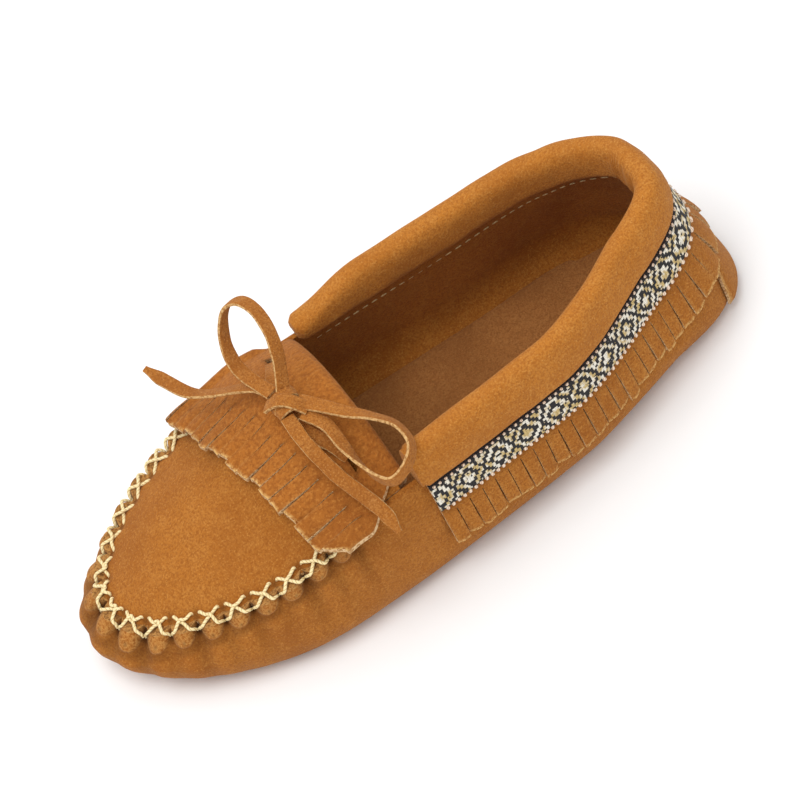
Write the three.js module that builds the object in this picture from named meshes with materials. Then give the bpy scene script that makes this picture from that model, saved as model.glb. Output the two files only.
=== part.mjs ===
// A left moccasin: one soft hide wraps up round the foot, an apron closes the toes with a crossed
// thread seam, a fringed flap folds forward over the instep under a bow, and a padded collar, a woven
// braid and a cut fringe run round the top line.
//
// Millimetres. +X is the toe, +Y the wearer's left, +Z up. The floor is z = 0.
import * as THREE from 'three';

// ---- Foot sizes -------------------------------------------------------------------------------
const SHOE_LENGTH = 232;
const BALL_WIDTH = 85;
const WAIST_WIDTH = 78;
const HEEL_WIDTH = 68;
const BALL_FROM_HEEL = 171;
const WAIST_FROM_HEEL = 75;
const HEEL_CENTRE_FROM_HEEL = 34;
const HEEL_ROUND = 52; // length over which the heel end closes in, to a nearly flat back
const TOE_ROUND = 74; // length over which the toe end rounds off
const TOE_SWING = 5; // how far the toe swings to the wearer's right
const HEEL_SWING = 2; // the same at the heel
const HEEL_CENTRE_SWING = 4; // and at the middle of the heel

// ---- Hide ---------------------------------------------------------------------------------------
const HIDE = 1.8;
const GAP = 0.3; // clearance between pieces that touch
const HEEL_EASE = 0.5; // more of it where trims turn round the back seam
const SOLE_BULGE_HEIGHT = 12; // height at which the side is widest
const SOLE_CORNER_HEIGHT = 4; // the same at the back seam, where the corner is sharp
const SOLE_EDGE_INSET = 9; // from the widest line in to the edge of the flat sole
const SOLE_CORNER_INSET = 3;
const TOE_BULGE_HEIGHT = 14; // the toe turns up more roundly off the floor
const TOE_EDGE_INSET = 14;

// ---- Upper edge of the sides and of the toe wall --------------------------------------------------
const SIDE_HEIGHT = 43.5; // under the collar
const HEEL_SIDE_HEIGHT = 50;
const BALL_SEAM_HEIGHT = 35.5;
const TOE_SEAM_HEIGHT = 23;
const HEEL_LEAN = 14.5; // how far the upper edge lies inside the widest line
const SIDE_LEAN = 5;
const BALL_LEAN = 5.5;
const TOE_LEAN = 8.5;

// ---- Apron, flap and throat ------------------------------------------------------------------------
const THROAT_FROM_HEEL = 132;
const THROAT_RISE = 14.5; // height of the instep above the side edges
const BALL_RISE = 10.5;
const FLAP = 1.6;
const FLAP_LIFT = 4.6; // room over the seam thread at the front edge of the flap
const FLAP_OVERHANG = 8; // past the seam on either side
const FLAP_TUCK = 2; // the folded back edge stops this far inside the side seams
const FLAP_LENGTH = 37;
const FLAP_SKEW = 7; // the right front corner lies this much ahead of the middle
const FLAP_HEM = 5; // turned under the throat edge
const FLAP_CREASE = 12.5; // from the fold to the line about which the fringe lifts
const FLAP_STRIPS = 17;
const FLAP_CUT_LENGTH = 15;
const CUT_WIDTH = 0.7;
const SLIT_FROM_FOLD = 7.5;
const SLIT_WIDTH = 2;

// ---- Collar, braid and side fringe ---------------------------------------------------------------------
const COLLAR_HEIGHT = 14.5;
const COLLAR_THICKNESS = 9;
const COLLAR_SKIN = 1.2;
const COLLAR_OPEN_ANGLE = 14; // half the opening of the cover underneath, in degrees
const COLLAR_FRONT_FROM_THROAT = 5.2;
const BRAID_WIDTH = 11.5;
const BRAID = 0.9;
const BRAID_DROP = 0.8; // from the upper edge of the side to the braid
const FRINGE = 1.3;
const FRINGE_HANG = 16; // below the braid
const FRINGE_FLARE = 1.8; // how far the tips stand off
const FRINGE_HEEL_FLARE = 3.4;
const FRINGE_STRIP = 4.9;

// ---- Heel tab, insole ----------------------------------------------------------------------------------------
const TAB_WIDTH = 26;
const TAB_BOTTOM = 4.6;
const TAB_TOP = 24;
const TAB = 1.5;
const FOAM = 3;
const SOCK = 1.1;
const INSOLE_CLEARANCE = 1.2;

// ---- Threads and lace -------------------------------------------------------------------------------------------
const THREAD = 1.2;
const SEAM_STITCHES = 19;
const SEAM_START_FROM_THROAT = 20; // the crosses end under the flap
const STITCH_REACH_IN = 2.2; // from the seam to the hole in the apron
const STITCH_REACH_DOWN = 2.2; // from the edge to the hole in the toe wall
const COLLAR_STITCH_DROP = 8; // the row inside, below the upper edge
const FINE_THREAD = 0.5;
const LACE_WIDTH = 4.6;
const LACE = 1.4;

// ---- Small helpers -----------------------------------------------------------------------------------------------
const clamp01 = (t) => Math.min(1, Math.max(0, t));
const smooth = (t) => clamp01(t) ** 2 * (3 - 2 * clamp01(t));
const mix = (a, b, t) => a + (b - a) * t;
const V = (x, y, z) => new THREE.Vector3(x, y, z);

/** Value at x of a smooth run through [x, value] stations, which never overshoots a station. */
function along(stations, x) {
  const last = stations.length - 1;
  if (x <= stations[0][0]) return stations[0][1];
  if (x >= stations[last][0]) return stations[last][1];
  const slope = (i) => (stations[i + 1][1] - stations[i][1]) / (stations[i + 1][0] - stations[i][0]);
  const tangent = (i) => {
    if (i === 0) return slope(0);
    if (i === last) return slope(last - 1);
    const [before, after] = [slope(i - 1), slope(i)];
    return before * after <= 0 ? 0 : 2 * before * after / (before + after);
  };
  const i = stations.findIndex(([at]) => at > x) - 1;
  const [x0, v0] = stations[i];
  const [x1, v1] = stations[i + 1];
  const t = (x - x0) / (x1 - x0);
  const ease = t * t * (3 - 2 * t);
  const bend = (x1 - x0) * t * (1 - t);
  return mix(v0, v1, ease) + bend * (tangent(i) * (1 - t) - tangent(i + 1) * t);
}

/** Share of the full width at distance d from an end that rounds off over a length. */
function roundEnd(d, length, fullness) {
  return (1 - (1 - clamp01(d / length)) ** fullness) ** (1 / fullness);
}

// ---- Places along the shoe ----------------------------------------------------------------------------------------
const HALF = SHOE_LENGTH / 2;
const HEEL_X = -HALF;
const TOE_X = HALF;
const HEEL_CENTRE_X = HEEL_X + HEEL_CENTRE_FROM_HEEL;
const WAIST_X = HEEL_X + WAIST_FROM_HEEL;
const THROAT_X = HEEL_X + THROAT_FROM_HEEL;
const BALL_X = HEEL_X + BALL_FROM_HEEL;

const halfWidth = (x) => along([[HEEL_CENTRE_X, HEEL_WIDTH / 2], [WAIST_X, WAIST_WIDTH / 2],
  [BALL_X, BALL_WIDTH / 2], [TOE_X, BALL_WIDTH / 2 - 2]], x);
const centreLine = (x) => along([[HEEL_X, -HEEL_SWING], [HEEL_CENTRE_X, -HEEL_CENTRE_SWING], [WAIST_X, 0], [THROAT_X, 0.5],
  [BALL_X, -0.5], [TOE_X, -TOE_SWING]], x);
const lean = (x) => along([[HEEL_X, HEEL_LEAN], [WAIST_X, SIDE_LEAN], [THROAT_X, SIDE_LEAN],
  [BALL_X, BALL_LEAN], [TOE_X, TOE_LEAN]], x);
const edgeHeight = (x) => along([[HEEL_X, HEEL_SIDE_HEIGHT], [WAIST_X, SIDE_HEIGHT],
  [THROAT_X, SIDE_HEIGHT], [BALL_X, BALL_SEAM_HEIGHT], [TOE_X - 8, TOE_SEAM_HEIGHT]], x);
const bulgeHeight = (x) => along([[HEEL_X, SOLE_CORNER_HEIGHT], [HEEL_CENTRE_X, SOLE_BULGE_HEIGHT],
  [BALL_X, SOLE_BULGE_HEIGHT], [TOE_X, TOE_BULGE_HEIGHT]], x);
const soleInset = (x) => along([[HEEL_X, SOLE_CORNER_INSET], [HEEL_CENTRE_X, SOLE_EDGE_INSET],
  [BALL_X, SOLE_EDGE_INSET], [TOE_X, TOE_EDGE_INSET]], x);

/** Angle round the plan at a place x on one side: 0 is the back seam, pi the tip of the toe. */
const angleAt = (x, side) => side * Math.acos(Math.min(1, Math.max(-1, -x / HALF)));

/** Widest outline of the shoe in plan at a signed angle, positive on the wearer's left. */
function outline(angle) {
  const x = -HALF * Math.cos(angle);
  const ends = roundEnd(x - HEEL_X, HEEL_ROUND, 2.4) * roundEnd(TOE_X - x, TOE_ROUND, 2.1);
  const side = Math.sin(angle) >= 0 ? 1 : -1;
  return V(x, centreLine(x) + side * halfWidth(x) * ends, 0);
}

/** Outward direction of the outline, level. */
function outward(angle) {
  const step = 0.02;
  const run = outline(angle + step).sub(outline(angle - step));
  return V(-run.y, run.x, 0).normalize();
}

/** How far the outside of the wall lies inside the outline at a height. */
function inset(x, z) {
  const bulge = bulgeHeight(x);
  if (z < bulge) return soleInset(x) * (1 - Math.sqrt(1 - (1 - z / bulge) ** 2));
  const up = (z - bulge) / (edgeHeight(x) - bulge);
  return lean(x) * up ** along([[HEEL_X, 1.1], [WAIST_X, 1.5]], x);
}

/** Point on the outside of the wall at a height, moved out by a distance. */
function wall(angle, z, out = 0) {
  const base = outline(angle);
  return base.addScaledVector(outward(angle), out - inset(base.x, z)).setZ(z);
}

const edgeZ = (angle) => edgeHeight(-HALF * Math.cos(angle));
const edge = (angle, out = 0, rise = 0) => wall(angle, edgeZ(angle), out).add(V(0, 0, rise));

// ---- Solids ---------------------------------------------------------------------------------------------------------
/** Gathers facets, joins equal corners, drops empty facets and faces them all outward. */
function solid(facets) {
  const corners = [];
  const known = new Map();
  const index = (p) => {
    const key = `${Math.round(p.x * 500)},${Math.round(p.y * 500)},${Math.round(p.z * 500)}`;
    if (!known.has(key)) {
      known.set(key, corners.length / 3);
      corners.push(p.x, p.y, p.z);
    }
    return known.get(key);
  };
  const triangles = [];
  for (const facet of facets) {
    const [a, b, c] = facet.map(index);
    if (a !== b && b !== c && c !== a) triangles.push([a, b, c]);
  }
  const at = (i) => V(corners[3 * i], corners[3 * i + 1], corners[3 * i + 2]);
  const volume = triangles.reduce((sum, [a, b, c]) => sum + at(a).dot(at(b).cross(at(c))), 0);
  const facing = volume > 0 ? triangles : triangles.map(([a, b, c]) => [a, c, b]);
  const geometry = new THREE.BufferGeometry();
  geometry.setAttribute('position', new THREE.Float32BufferAttribute(corners, 3));
  geometry.setIndex(facing.flat());
  geometry.computeVertexNormals();
  return geometry;
}

/**
 * A sheet with thickness. at(row, column, layer) gives the point of the outer (0) or inner (1) face,
 * keep(row, column) says which cells have material, and wrap joins the last column to the first.
 */
function sheet({ rows, cols, at, keep = () => true, wrap = false }) {
  const facets = [];
  const quad = (a, b, c, d) => facets.push([a, b, c], [a, c, d]);
  const point = (r, c, layer) => at(r, wrap ? (c + cols) % cols : c, layer);
  const lastCol = wrap ? cols : cols - 1;
  const isCell = (r, c) => {
    const inside = r >= 0 && r < rows - 1 && (wrap || (c >= 0 && c < lastCol));
    return inside && keep(r, (c + cols) % cols);
  };
  for (let r = 0; r < rows - 1; r += 1) {
    for (let c = 0; c < lastCol; c += 1) {
      if (!isCell(r, c)) continue;
      const o = [point(r, c, 0), point(r, c + 1, 0), point(r + 1, c + 1, 0), point(r + 1, c, 0)];
      const i = [point(r, c, 1), point(r, c + 1, 1), point(r + 1, c + 1, 1), point(r + 1, c, 1)];
      quad(o[0], o[1], o[2], o[3]);
      quad(i[3], i[2], i[1], i[0]);
      if (!isCell(r - 1, c)) quad(o[1], o[0], i[0], i[1]);
      if (!isCell(r + 1, c)) quad(o[3], o[2], i[2], i[3]);
      if (!isCell(r, c - 1)) quad(o[0], o[3], i[3], i[0]);
      if (!isCell(r, c + 1)) quad(o[2], o[1], i[1], i[2]);
    }
  }
  return solid(facets);
}

/** A round strand along a run of points. */
function strand(points, diameter, steps) {
  const path = new THREE.CatmullRomCurve3(points);
  const section = new THREE.Shape(Array.from({ length: 6 }, (_, i) => new THREE.Vector2(
    Math.cos(i * Math.PI / 3) * diameter / 2,
    Math.sin(i * Math.PI / 3) * diameter / 2,
  )));
  return new THREE.ExtrudeGeometry(section, { steps, extrudePath: path, bevelEnabled: false });
}

/** A flat thong along points; the width lies square to the run and to the given face direction. */
function thong(points, faces, steps) {
  const path = new THREE.CatmullRomCurve3(points, false, 'catmullrom', 0.5);
  const face = new THREE.CatmullRomCurve3(faces);
  const at = (row, col, layer) => {
    const t = row / steps;
    const along3 = path.getTangent(t);
    const across = along3.clone().cross(face.getPoint(t)).normalize();
    const normal = across.clone().cross(along3).normalize();
    return path.getPoint(t).addScaledVector(across, (col - 0.5) * LACE_WIDTH)
      .addScaledVector(normal, (0.5 - layer) * LACE);
  };
  return sheet({ rows: steps + 1, cols: 2, at });
}

const shoe = new THREE.Group();

function add(name, geometry, color, roughness) {
  const mesh = new THREE.Mesh(geometry, new THREE.MeshStandardMaterial({ color, roughness, metalness: 0 }));
  mesh.name = name;
  shoe.add(mesh);
}

const SUEDE = '#b8702a';
const SUEDE_DARK = '#9a5a26';
const LACE_COLOUR = '#a8682c';
const SOCK_COLOUR = '#8a4f2a';
const FOAM_COLOUR = '#e6dcc0';
const THREAD_COLOUR = '#e8d6a4';
const BRAID_COLOUR = '#3a332c';

// ---- Vamp and sole --------------------------------------------------------------------------------------------------
/** Profile of the hide at one angle, floor to upper edge: pairs of outer and inner points. */
function hideProfile(angle) {
  const x = -HALF * Math.cos(angle);
  const bulge = bulgeHeight(x);
  const top = edgeZ(angle);
  const round = [0, 0.4, 0.75, 1].map((t) => bulge * (1 - Math.cos(t * Math.PI / 2)));
  const straight = [0.33, 0.66, 1].map((t) => mix(bulge, top, t));
  const outer = [...round, ...straight].map((z) => new THREE.Vector2(-inset(x, z), z));
  const inner = outer.map((p, i) => {
    if (i === 0) return new THREE.Vector2(p.x, HIDE);
    const run = outer[Math.min(i + 1, outer.length - 1)].clone().sub(outer[i - 1]).normalize();
    const last = i === outer.length - 1;
    return last ? new THREE.Vector2(p.x - HIDE, p.y) : new THREE.Vector2(p.x - run.y * HIDE, p.y + run.x * HIDE);
  });
  return [outer, inner];
}

const ROUND = 90;
const profiles = Array.from({ length: ROUND }, (_, c) => hideProfile(c / ROUND * 2 * Math.PI));

function hidePoint(row, col, layer) {
  const angle = col / ROUND * 2 * Math.PI;
  if (row === 0) return V(0, 0, layer * HIDE);
  const ring = Math.max(row - 3, 0);
  const p = profiles[col][layer][ring];
  const place = outline(angle).addScaledVector(outward(angle), p.x).setZ(p.y);
  const share = [0, 0.45, 0.8][row] ?? 1;
  return V(place.x * share, place.y * share, place.z);
}

add('vamp_and_sole', sheet({ rows: profiles[0][0].length + 3, cols: ROUND, at: hidePoint, wrap: true }),
  SUEDE, 0.95);

// ---- Insole: foam under a leather sock ------------------------------------------------------------------------------
function insoleLayer(bottom, thickness) {
  const at = (row, col, layer) => {
    const angle = col / 48 * 2 * Math.PI;
    const x = -HALF * Math.cos(angle);
    const inside = soleInset(x) + INSOLE_CLEARANCE + HIDE * (x < HEEL_CENTRE_X ? 1 : 0.2);
    const rim = outline(angle).addScaledVector(outward(angle), -inside);
    const share = [0, 0.55, 1][row];
    return V(rim.x * share, rim.y * share, bottom + (layer === 0 ? thickness : 0));
  };
  return sheet({ rows: 3, cols: 48, at, wrap: true });
}

add('insole_foam', insoleLayer(HIDE + GAP, FOAM), FOAM_COLOUR, 0.9);
add('insole_sock', insoleLayer(HIDE + FOAM + 2 * GAP, SOCK), SOCK_COLOUR, 0.85);

// ---- Apron ------------------------------------------------------------------------------------------------------------
const THROAT_ANGLE = angleAt(THROAT_X, 1);
const apronInset = HIDE + GAP;

/** Height of the instep above its side edges at a place along the shoe. */
function rise(x) {
  const body = along([[THROAT_X, THROAT_RISE], [BALL_X, BALL_RISE]], x);
  return body * roundEnd(TOE_X - TOE_LEAN - apronInset - x, TOE_ROUND, 1.7);
}

/** Left and right edges of the apron at one angle. */
const apronEdges = (angle) => [edge(angle, -apronInset), edge(-angle, -apronInset)];

/** Point on the top of the apron: share runs from -1 at the right seam to 1 at the left seam. */
function instep(angle, share, up = 0) {
  const [left, right] = apronEdges(angle);
  const p = right.clone().lerp(left, (share + 1) / 2);
  return p.add(V(0, 0, rise(p.x) * (1 - share ** 2) + up));
}

/** Height of the top of the apron over a place in plan. */
function instepHeight(x, y) {
  let low = THROAT_ANGLE;
  let high = Math.PI;
  for (let i = 0; i < 24; i += 1) {
    const middle = (low + high) / 2;
    if (apronEdges(middle)[0].x < x) low = middle;
    else high = middle;
  }
  const [left, right] = apronEdges(low);
  const half = Math.max((left.y - right.y) / 2, 0.01);
  const share = Math.min(1, Math.abs(y - (left.y + right.y) / 2) / half);
  return left.z + rise(left.x) * (1 - share ** 2);
}

const APRON_ROWS = 18;
const APRON_COLS = 15;
const apronAt = (row, col, layer) => {
  const t = row / (APRON_ROWS - 1);
  const angle = mix(Math.PI, THROAT_ANGLE, t ** 1.1);
  return instep(angle, 2 * col / (APRON_COLS - 1) - 1, -layer * HIDE);
};
add('apron', sheet({ rows: APRON_ROWS, cols: APRON_COLS, at: apronAt }), SUEDE, 0.95);

// ---- Fringed flap -------------------------------------------------------------------------------------------------------
const seamHalf = apronEdges(THROAT_ANGLE)[0].distanceTo(apronEdges(THROAT_ANGLE)[1]) / 2;
const FOLD_RADIUS = HIDE / 2 + 1.3; // inside the fold, round the throat edge
const foldLength = Math.PI * FOLD_RADIUS;

/** Half the width of the flap at a distance forward of the fold. */
const flapHalf = (run) => mix(seamHalf - FLAP_TUCK, seamHalf + FLAP_OVERHANG, smooth(run / 16));

/** Point of the flap: run is the distance forward of the fold, across runs from -1 to 1. */
function flapPoint(run, across, layer) {
  const side = across * flapHalf(run);
  const share = Math.sign(side) * Math.min(1, Math.abs(side) / seamHalf);
  const over = Math.max(0, Math.abs(side) - seamHalf);
  const out = layer === 0 ? FLAP : 0;
  if (run < 0) {
    const turn = mix(-Math.PI / 2, Math.PI / 2, clamp01((run + foldLength) / foldLength));
    const under = Math.max(0, -run - foldLength);
    const reach = FOLD_RADIUS + out;
    const centre = instep(THROAT_ANGLE, share, -HIDE / 2);
    return centre.add(V(under - Math.cos(turn) * reach, 0, Math.sin(turn) * reach));
  }
  const lift = mix(FOLD_RADIUS - HIDE / 2, FLAP_LIFT, smooth(run / 20)) + out;
  const drop = Math.max(0, over - 3.2) * 0.95;
  return instep(angleAt(THROAT_X + run, 1), share, lift).add(V(0, Math.sign(side) * over * 0.85, -drop));
}

/** Forward end of the flap at a distance across: the right corner lies further forward. */
const flapEnd = (across) => FLAP_LENGTH - FLAP_SKEW * across;

/** Places across, -1 to 1, of the two edges of each cut and of the two edges of the flap. */
function flapColumns() {
  const pitch = 2 / FLAP_STRIPS;
  const cut = CUT_WIDTH / (seamHalf + FLAP_OVERHANG) / 2;
  const places = [-1];
  for (let k = 1; k < FLAP_STRIPS; k += 1) places.push(-1 + k * pitch - cut, -1 + k * pitch + cut);
  return [...places, 1];
}

const columns = flapColumns();
const isCut = (col) => col % 2 === 1;

// Back half: the hem under the throat edge, the fold, and the slits for the lace.
const backRuns = [-foldLength - FLAP_HEM, -foldLength, -foldLength * 0.75, -foldLength * 0.5,
  -foldLength * 0.25, 0, SLIT_FROM_FOLD - SLIT_WIDTH / 2, SLIT_FROM_FOLD + SLIT_WIDTH / 2,
  FLAP_CREASE - GAP];
const SLIT_ROW = 6;
const slitColumns = (col) => Math.abs(Math.abs(col + 0.5 - (columns.length - 1) / 2) - 10) < 2;
add('flap_back', sheet({
  rows: backRuns.length,
  cols: columns.length,
  at: (row, col, layer) => flapPoint(backRuns[row], columns[col], layer),
  keep: (row, col) => row !== SLIT_ROW || !slitColumns(col),
}), SUEDE_DARK, 0.95);

// Front half: the fringe, which lifts about the crease.
const FRINGE_ROWS = 4;
const frontRun = (row, across) => {
  const end = flapEnd(across);
  if (row === 0) return FLAP_CREASE;
  return mix(end - FLAP_CUT_LENGTH, end, (row - 1) / (FRINGE_ROWS - 1));
};
add('flap_fringe', sheet({
  rows: FRINGE_ROWS + 1,
  cols: columns.length,
  at: (row, col, layer) => flapPoint(frontRun(row, columns[col]), columns[col], layer),
  keep: (row, col) => row === 0 || !isCut(col),
}), SUEDE_DARK, 0.95);

// ---- Collar ---------------------------------------------------------------------------------------------------------------
const COLLAR_ANGLE = angleAt(THROAT_X - COLLAR_FRONT_FROM_THROAT, 1);
const COLLAR_STEPS = 56;

/** Point of a round-cornered upright section over the upper edge; turn 0 is outward, 90 up. */
function collarPoint(angle, turn, skin) {
  const half = COLLAR_THICKNESS / 2 - skin;
  const tall = COLLAR_HEIGHT / 2 - skin;
  const bow = (value) => Math.sign(value) * Math.abs(value) ** 0.8;
  const across = -HIDE / 2 - 1 + half * bow(Math.cos(turn));
  return edge(angle, across, GAP + COLLAR_HEIGHT / 2 + tall * bow(Math.sin(turn)));
}

const collarAngle = (col) => mix(-COLLAR_ANGLE, COLLAR_ANGLE, col / COLLAR_STEPS);
const OPEN = THREE.MathUtils.degToRad(COLLAR_OPEN_ANGLE);
const COVER_ROWS = 12;
add('collar_cover', sheet({
  rows: COVER_ROWS,
  cols: COLLAR_STEPS + 1,
  at: (row, col, layer) => {
    const turn = mix(-Math.PI / 2 + OPEN, Math.PI * 1.5 - OPEN, row / (COVER_ROWS - 1));
    return collarPoint(collarAngle(col), turn, layer * COLLAR_SKIN);
  },
}), SUEDE, 0.95);

add('collar_foam', sheet({
  rows: 6,
  cols: COLLAR_STEPS + 1,
  at: (row, col, layer) => {
    const turn = mix(-Math.PI / 2, Math.PI / 2, row / 5);
    const skin = COLLAR_SKIN + GAP;
    return collarPoint(collarAngle(col), layer === 0 ? turn : Math.PI - turn, skin);
  },
}), FOAM_COLOUR, 0.9);

// ---- Side fringe under the braid --------------------------------------------------------------------------------------------
/** Signed angle at a distance along the upper edge from the heel. */
const edgeLengths = [0];
const LENGTH_STEPS = 200;
for (let i = 1; i <= LENGTH_STEPS; i += 1) {
  const a = edge((i - 1) / LENGTH_STEPS * COLLAR_ANGLE);
  edgeLengths.push(edgeLengths[i - 1] + a.distanceTo(edge(i / LENGTH_STEPS * COLLAR_ANGLE)));
}
function angleAlong(distance) {
  const d = Math.abs(distance);
  const i = Math.min(edgeLengths.findIndex((v) => v >= d - 1e-9), LENGTH_STEPS);
  const from = edgeLengths[Math.max(i - 1, 0)];
  const part = i === 0 ? 0 : (d - from) / (edgeLengths[i] - from);
  return Math.sign(distance) * (Math.max(i - 1, 0) + part) / LENGTH_STEPS * COLLAR_ANGLE;
}

const TRIM_HALF = edgeLengths[LENGTH_STEPS] - 1.5;
const STRIPS = Math.round(2 * TRIM_HALF / FRINGE_STRIP);

/** Extra room where a trim turns round the back seam. */
const heelEase = (distance) => HEEL_EASE * (1 - smooth(Math.abs(distance) / 22));

/** Point of the trim: drop is measured down from the upper edge of the side. */
function trimPoint(distance, drop, out) {
  const angle = angleAlong(distance);
  return wall(angle, edgeZ(angle) - drop, out + heelEase(distance));
}

function fringeStand(distance, drop) {
  const heel = 1 - smooth(Math.abs(distance) / 45);
  const flare = mix(FRINGE_FLARE, FRINGE_HEEL_FLARE, heel);
  return GAP + flare * smooth((drop - BRAID_WIDTH) / FRINGE_HANG);
}

const fringeColumn = (col) => {
  if (col === 0) return -TRIM_HALF;
  if (col === 2 * STRIPS - 1) return TRIM_HALF;
  const k = Math.ceil(col / 2);
  return -TRIM_HALF + k * (2 * TRIM_HALF / STRIPS) + (col % 2 === 1 ? -CUT_WIDTH / 2 : CUT_WIDTH / 2);
};
const fringeDrop = [BRAID_DROP, BRAID_DROP + BRAID_WIDTH + 1.5, BRAID_WIDTH + 8, BRAID_WIDTH + 14,
  BRAID_DROP + BRAID_WIDTH + FRINGE_HANG];
add('side_fringe', sheet({
  rows: fringeDrop.length,
  cols: 2 * STRIPS,
  at: (row, col, layer) => {
    const distance = fringeColumn(col);
    const stand = fringeStand(distance, fringeDrop[row]);
    return trimPoint(distance, fringeDrop[row], stand + (1 - layer) * FRINGE);
  },
  keep: (row, col) => row === 0 || !isCut(col),
}), SUEDE, 0.95);

// ---- Braid --------------------------------------------------------------------------------------------------------------------
const BRAID_STEPS = 110;
const BRAID_STAND = GAP + FRINGE + 2 * GAP;
add('braid_trim', sheet({
  rows: 3,
  cols: BRAID_STEPS + 1,
  at: (row, col, layer) => trimPoint(mix(-TRIM_HALF, TRIM_HALF, col / BRAID_STEPS),
    BRAID_DROP + row / 2 * BRAID_WIDTH, BRAID_STAND + (1 - layer) * BRAID),
}), BRAID_COLOUR, 0.8);

// ---- Heel tab -------------------------------------------------------------------------------------------------------------------
const TAB_ROWS = 6;
add('heel_tab', sheet({
  rows: TAB_ROWS,
  cols: 17,
  at: (row, col, layer) => {
    const z = mix(TAB_BOTTOM, TAB_TOP, row / (TAB_ROWS - 1));
    const narrowing = 1 - 0.25 * (row / (TAB_ROWS - 1)) ** 2;
    const distance = (col / 8 - 1) * TAB_WIDTH / 2 * narrowing;
    return wall(angleAlong(distance), z, GAP + heelEase(distance) + (1 - layer) * TAB);
  },
}), SUEDE, 0.95);

// ---- Threads ----------------------------------------------------------------------------------------------------------------------
/** Angles at even distances along the seam, from its left end round the toe to its right end. */
function evenSeamAngles(count) {
  const start = angleAt(THROAT_X + SEAM_START_FROM_THROAT, 1);
  const angles = Array.from({ length: 301 }, (_, i) => mix(start, 2 * Math.PI - start, i / 300));
  const lengths = [0];
  for (let i = 1; i < angles.length; i += 1) {
    lengths.push(lengths[i - 1] + edge(angles[i]).distanceTo(edge(angles[i - 1])));
  }
  return Array.from({ length: count + 1 }, (_, k) => {
    const wanted = k / count * lengths[300];
    const i = Math.max(1, lengths.findIndex((v) => v >= wanted - 1e-6));
    return mix(angles[i - 1], angles[i], (wanted - lengths[i - 1]) / (lengths[i] - lengths[i - 1]));
  });
}

// Four places to a stitch: hole, corner of the wall's edge, middle of the edge, next hole.
const seamAngles = evenSeamAngles(SEAM_STITCHES * 4);
const CLEAR = GAP + THREAD / 2;

/** The strand where it lies on the apron, by its hole there. */
function onApron(angle, lift) {
  const p = edge(angle, -apronInset - STITCH_REACH_IN);
  return p.setZ(instepHeight(p.x, p.y) + CLEAR + lift + 0.8);
}

/** The strand where it lies on the toe wall, by its hole there. */
const onWall = (angle, lift) => wall(angle, edgeZ(angle) - STITCH_REACH_DOWN, CLEAR + lift);

function seamStrand(phase, lift) {
  const points = [];
  for (let k = 0; k <= SEAM_STITCHES; k += 1) {
    const inside = (k + phase) % 2 === 0;
    points.push(inside ? onApron(seamAngles[4 * k], lift) : onWall(seamAngles[4 * k], lift));
    if (k === SEAM_STITCHES) break;
    const corner = edge(seamAngles[4 * k + (inside ? 3 : 1)], CLEAR + lift * 0.8, 0.7 + lift * 0.7);
    const middle = edge(seamAngles[4 * k + 2], -HIDE / 2, CLEAR + 0.3 + lift);
    points.push(...(inside ? [middle, corner] : [corner, middle]));
  }
  return strand(points, THREAD, SEAM_STITCHES * 5);
}

add('seam_thread_lower', seamStrand(0, 0), THREAD_COLOUR, 0.6);
add('seam_thread_upper', seamStrand(1, THREAD + GAP), THREAD_COLOUR, 0.6);

/** A fine row of stitching that runs round the top line. */
function stitchRow(pointAt, reach, steps) {
  const points = Array.from({ length: steps + 1 }, (_, i) => pointAt(mix(-reach, reach, i / steps)));
  return strand(points, FINE_THREAD, steps);
}

const stitchOut = BRAID_STAND + BRAID + GAP + FINE_THREAD / 2;
for (const [name, drop] of [['braid_stitch_upper', BRAID_DROP + 1], ['braid_stitch_lower', BRAID_DROP + BRAID_WIDTH - 1]]) {
  add(name, stitchRow((d) => trimPoint(d, drop, stitchOut), TRIM_HALF - 2, 80), '#c9a48c', 0.6);
}
add('collar_stitch', stitchRow((d) => trimPoint(d, COLLAR_STITCH_DROP, -HIDE - GAP - FINE_THREAD / 2 - 0.5), TRIM_HALF - 4, 60),
  THREAD_COLOUR, 0.6);

// ---- Lace ---------------------------------------------------------------------------------------------------------------------------
const LACE_AHEAD = THROAT_X - 13; // the lace moves with the throat
const L = (x, y, z) => V(x + LACE_AHEAD, y, z);
const KNOT = L(26.8, 3.5, 66.5);

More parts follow.
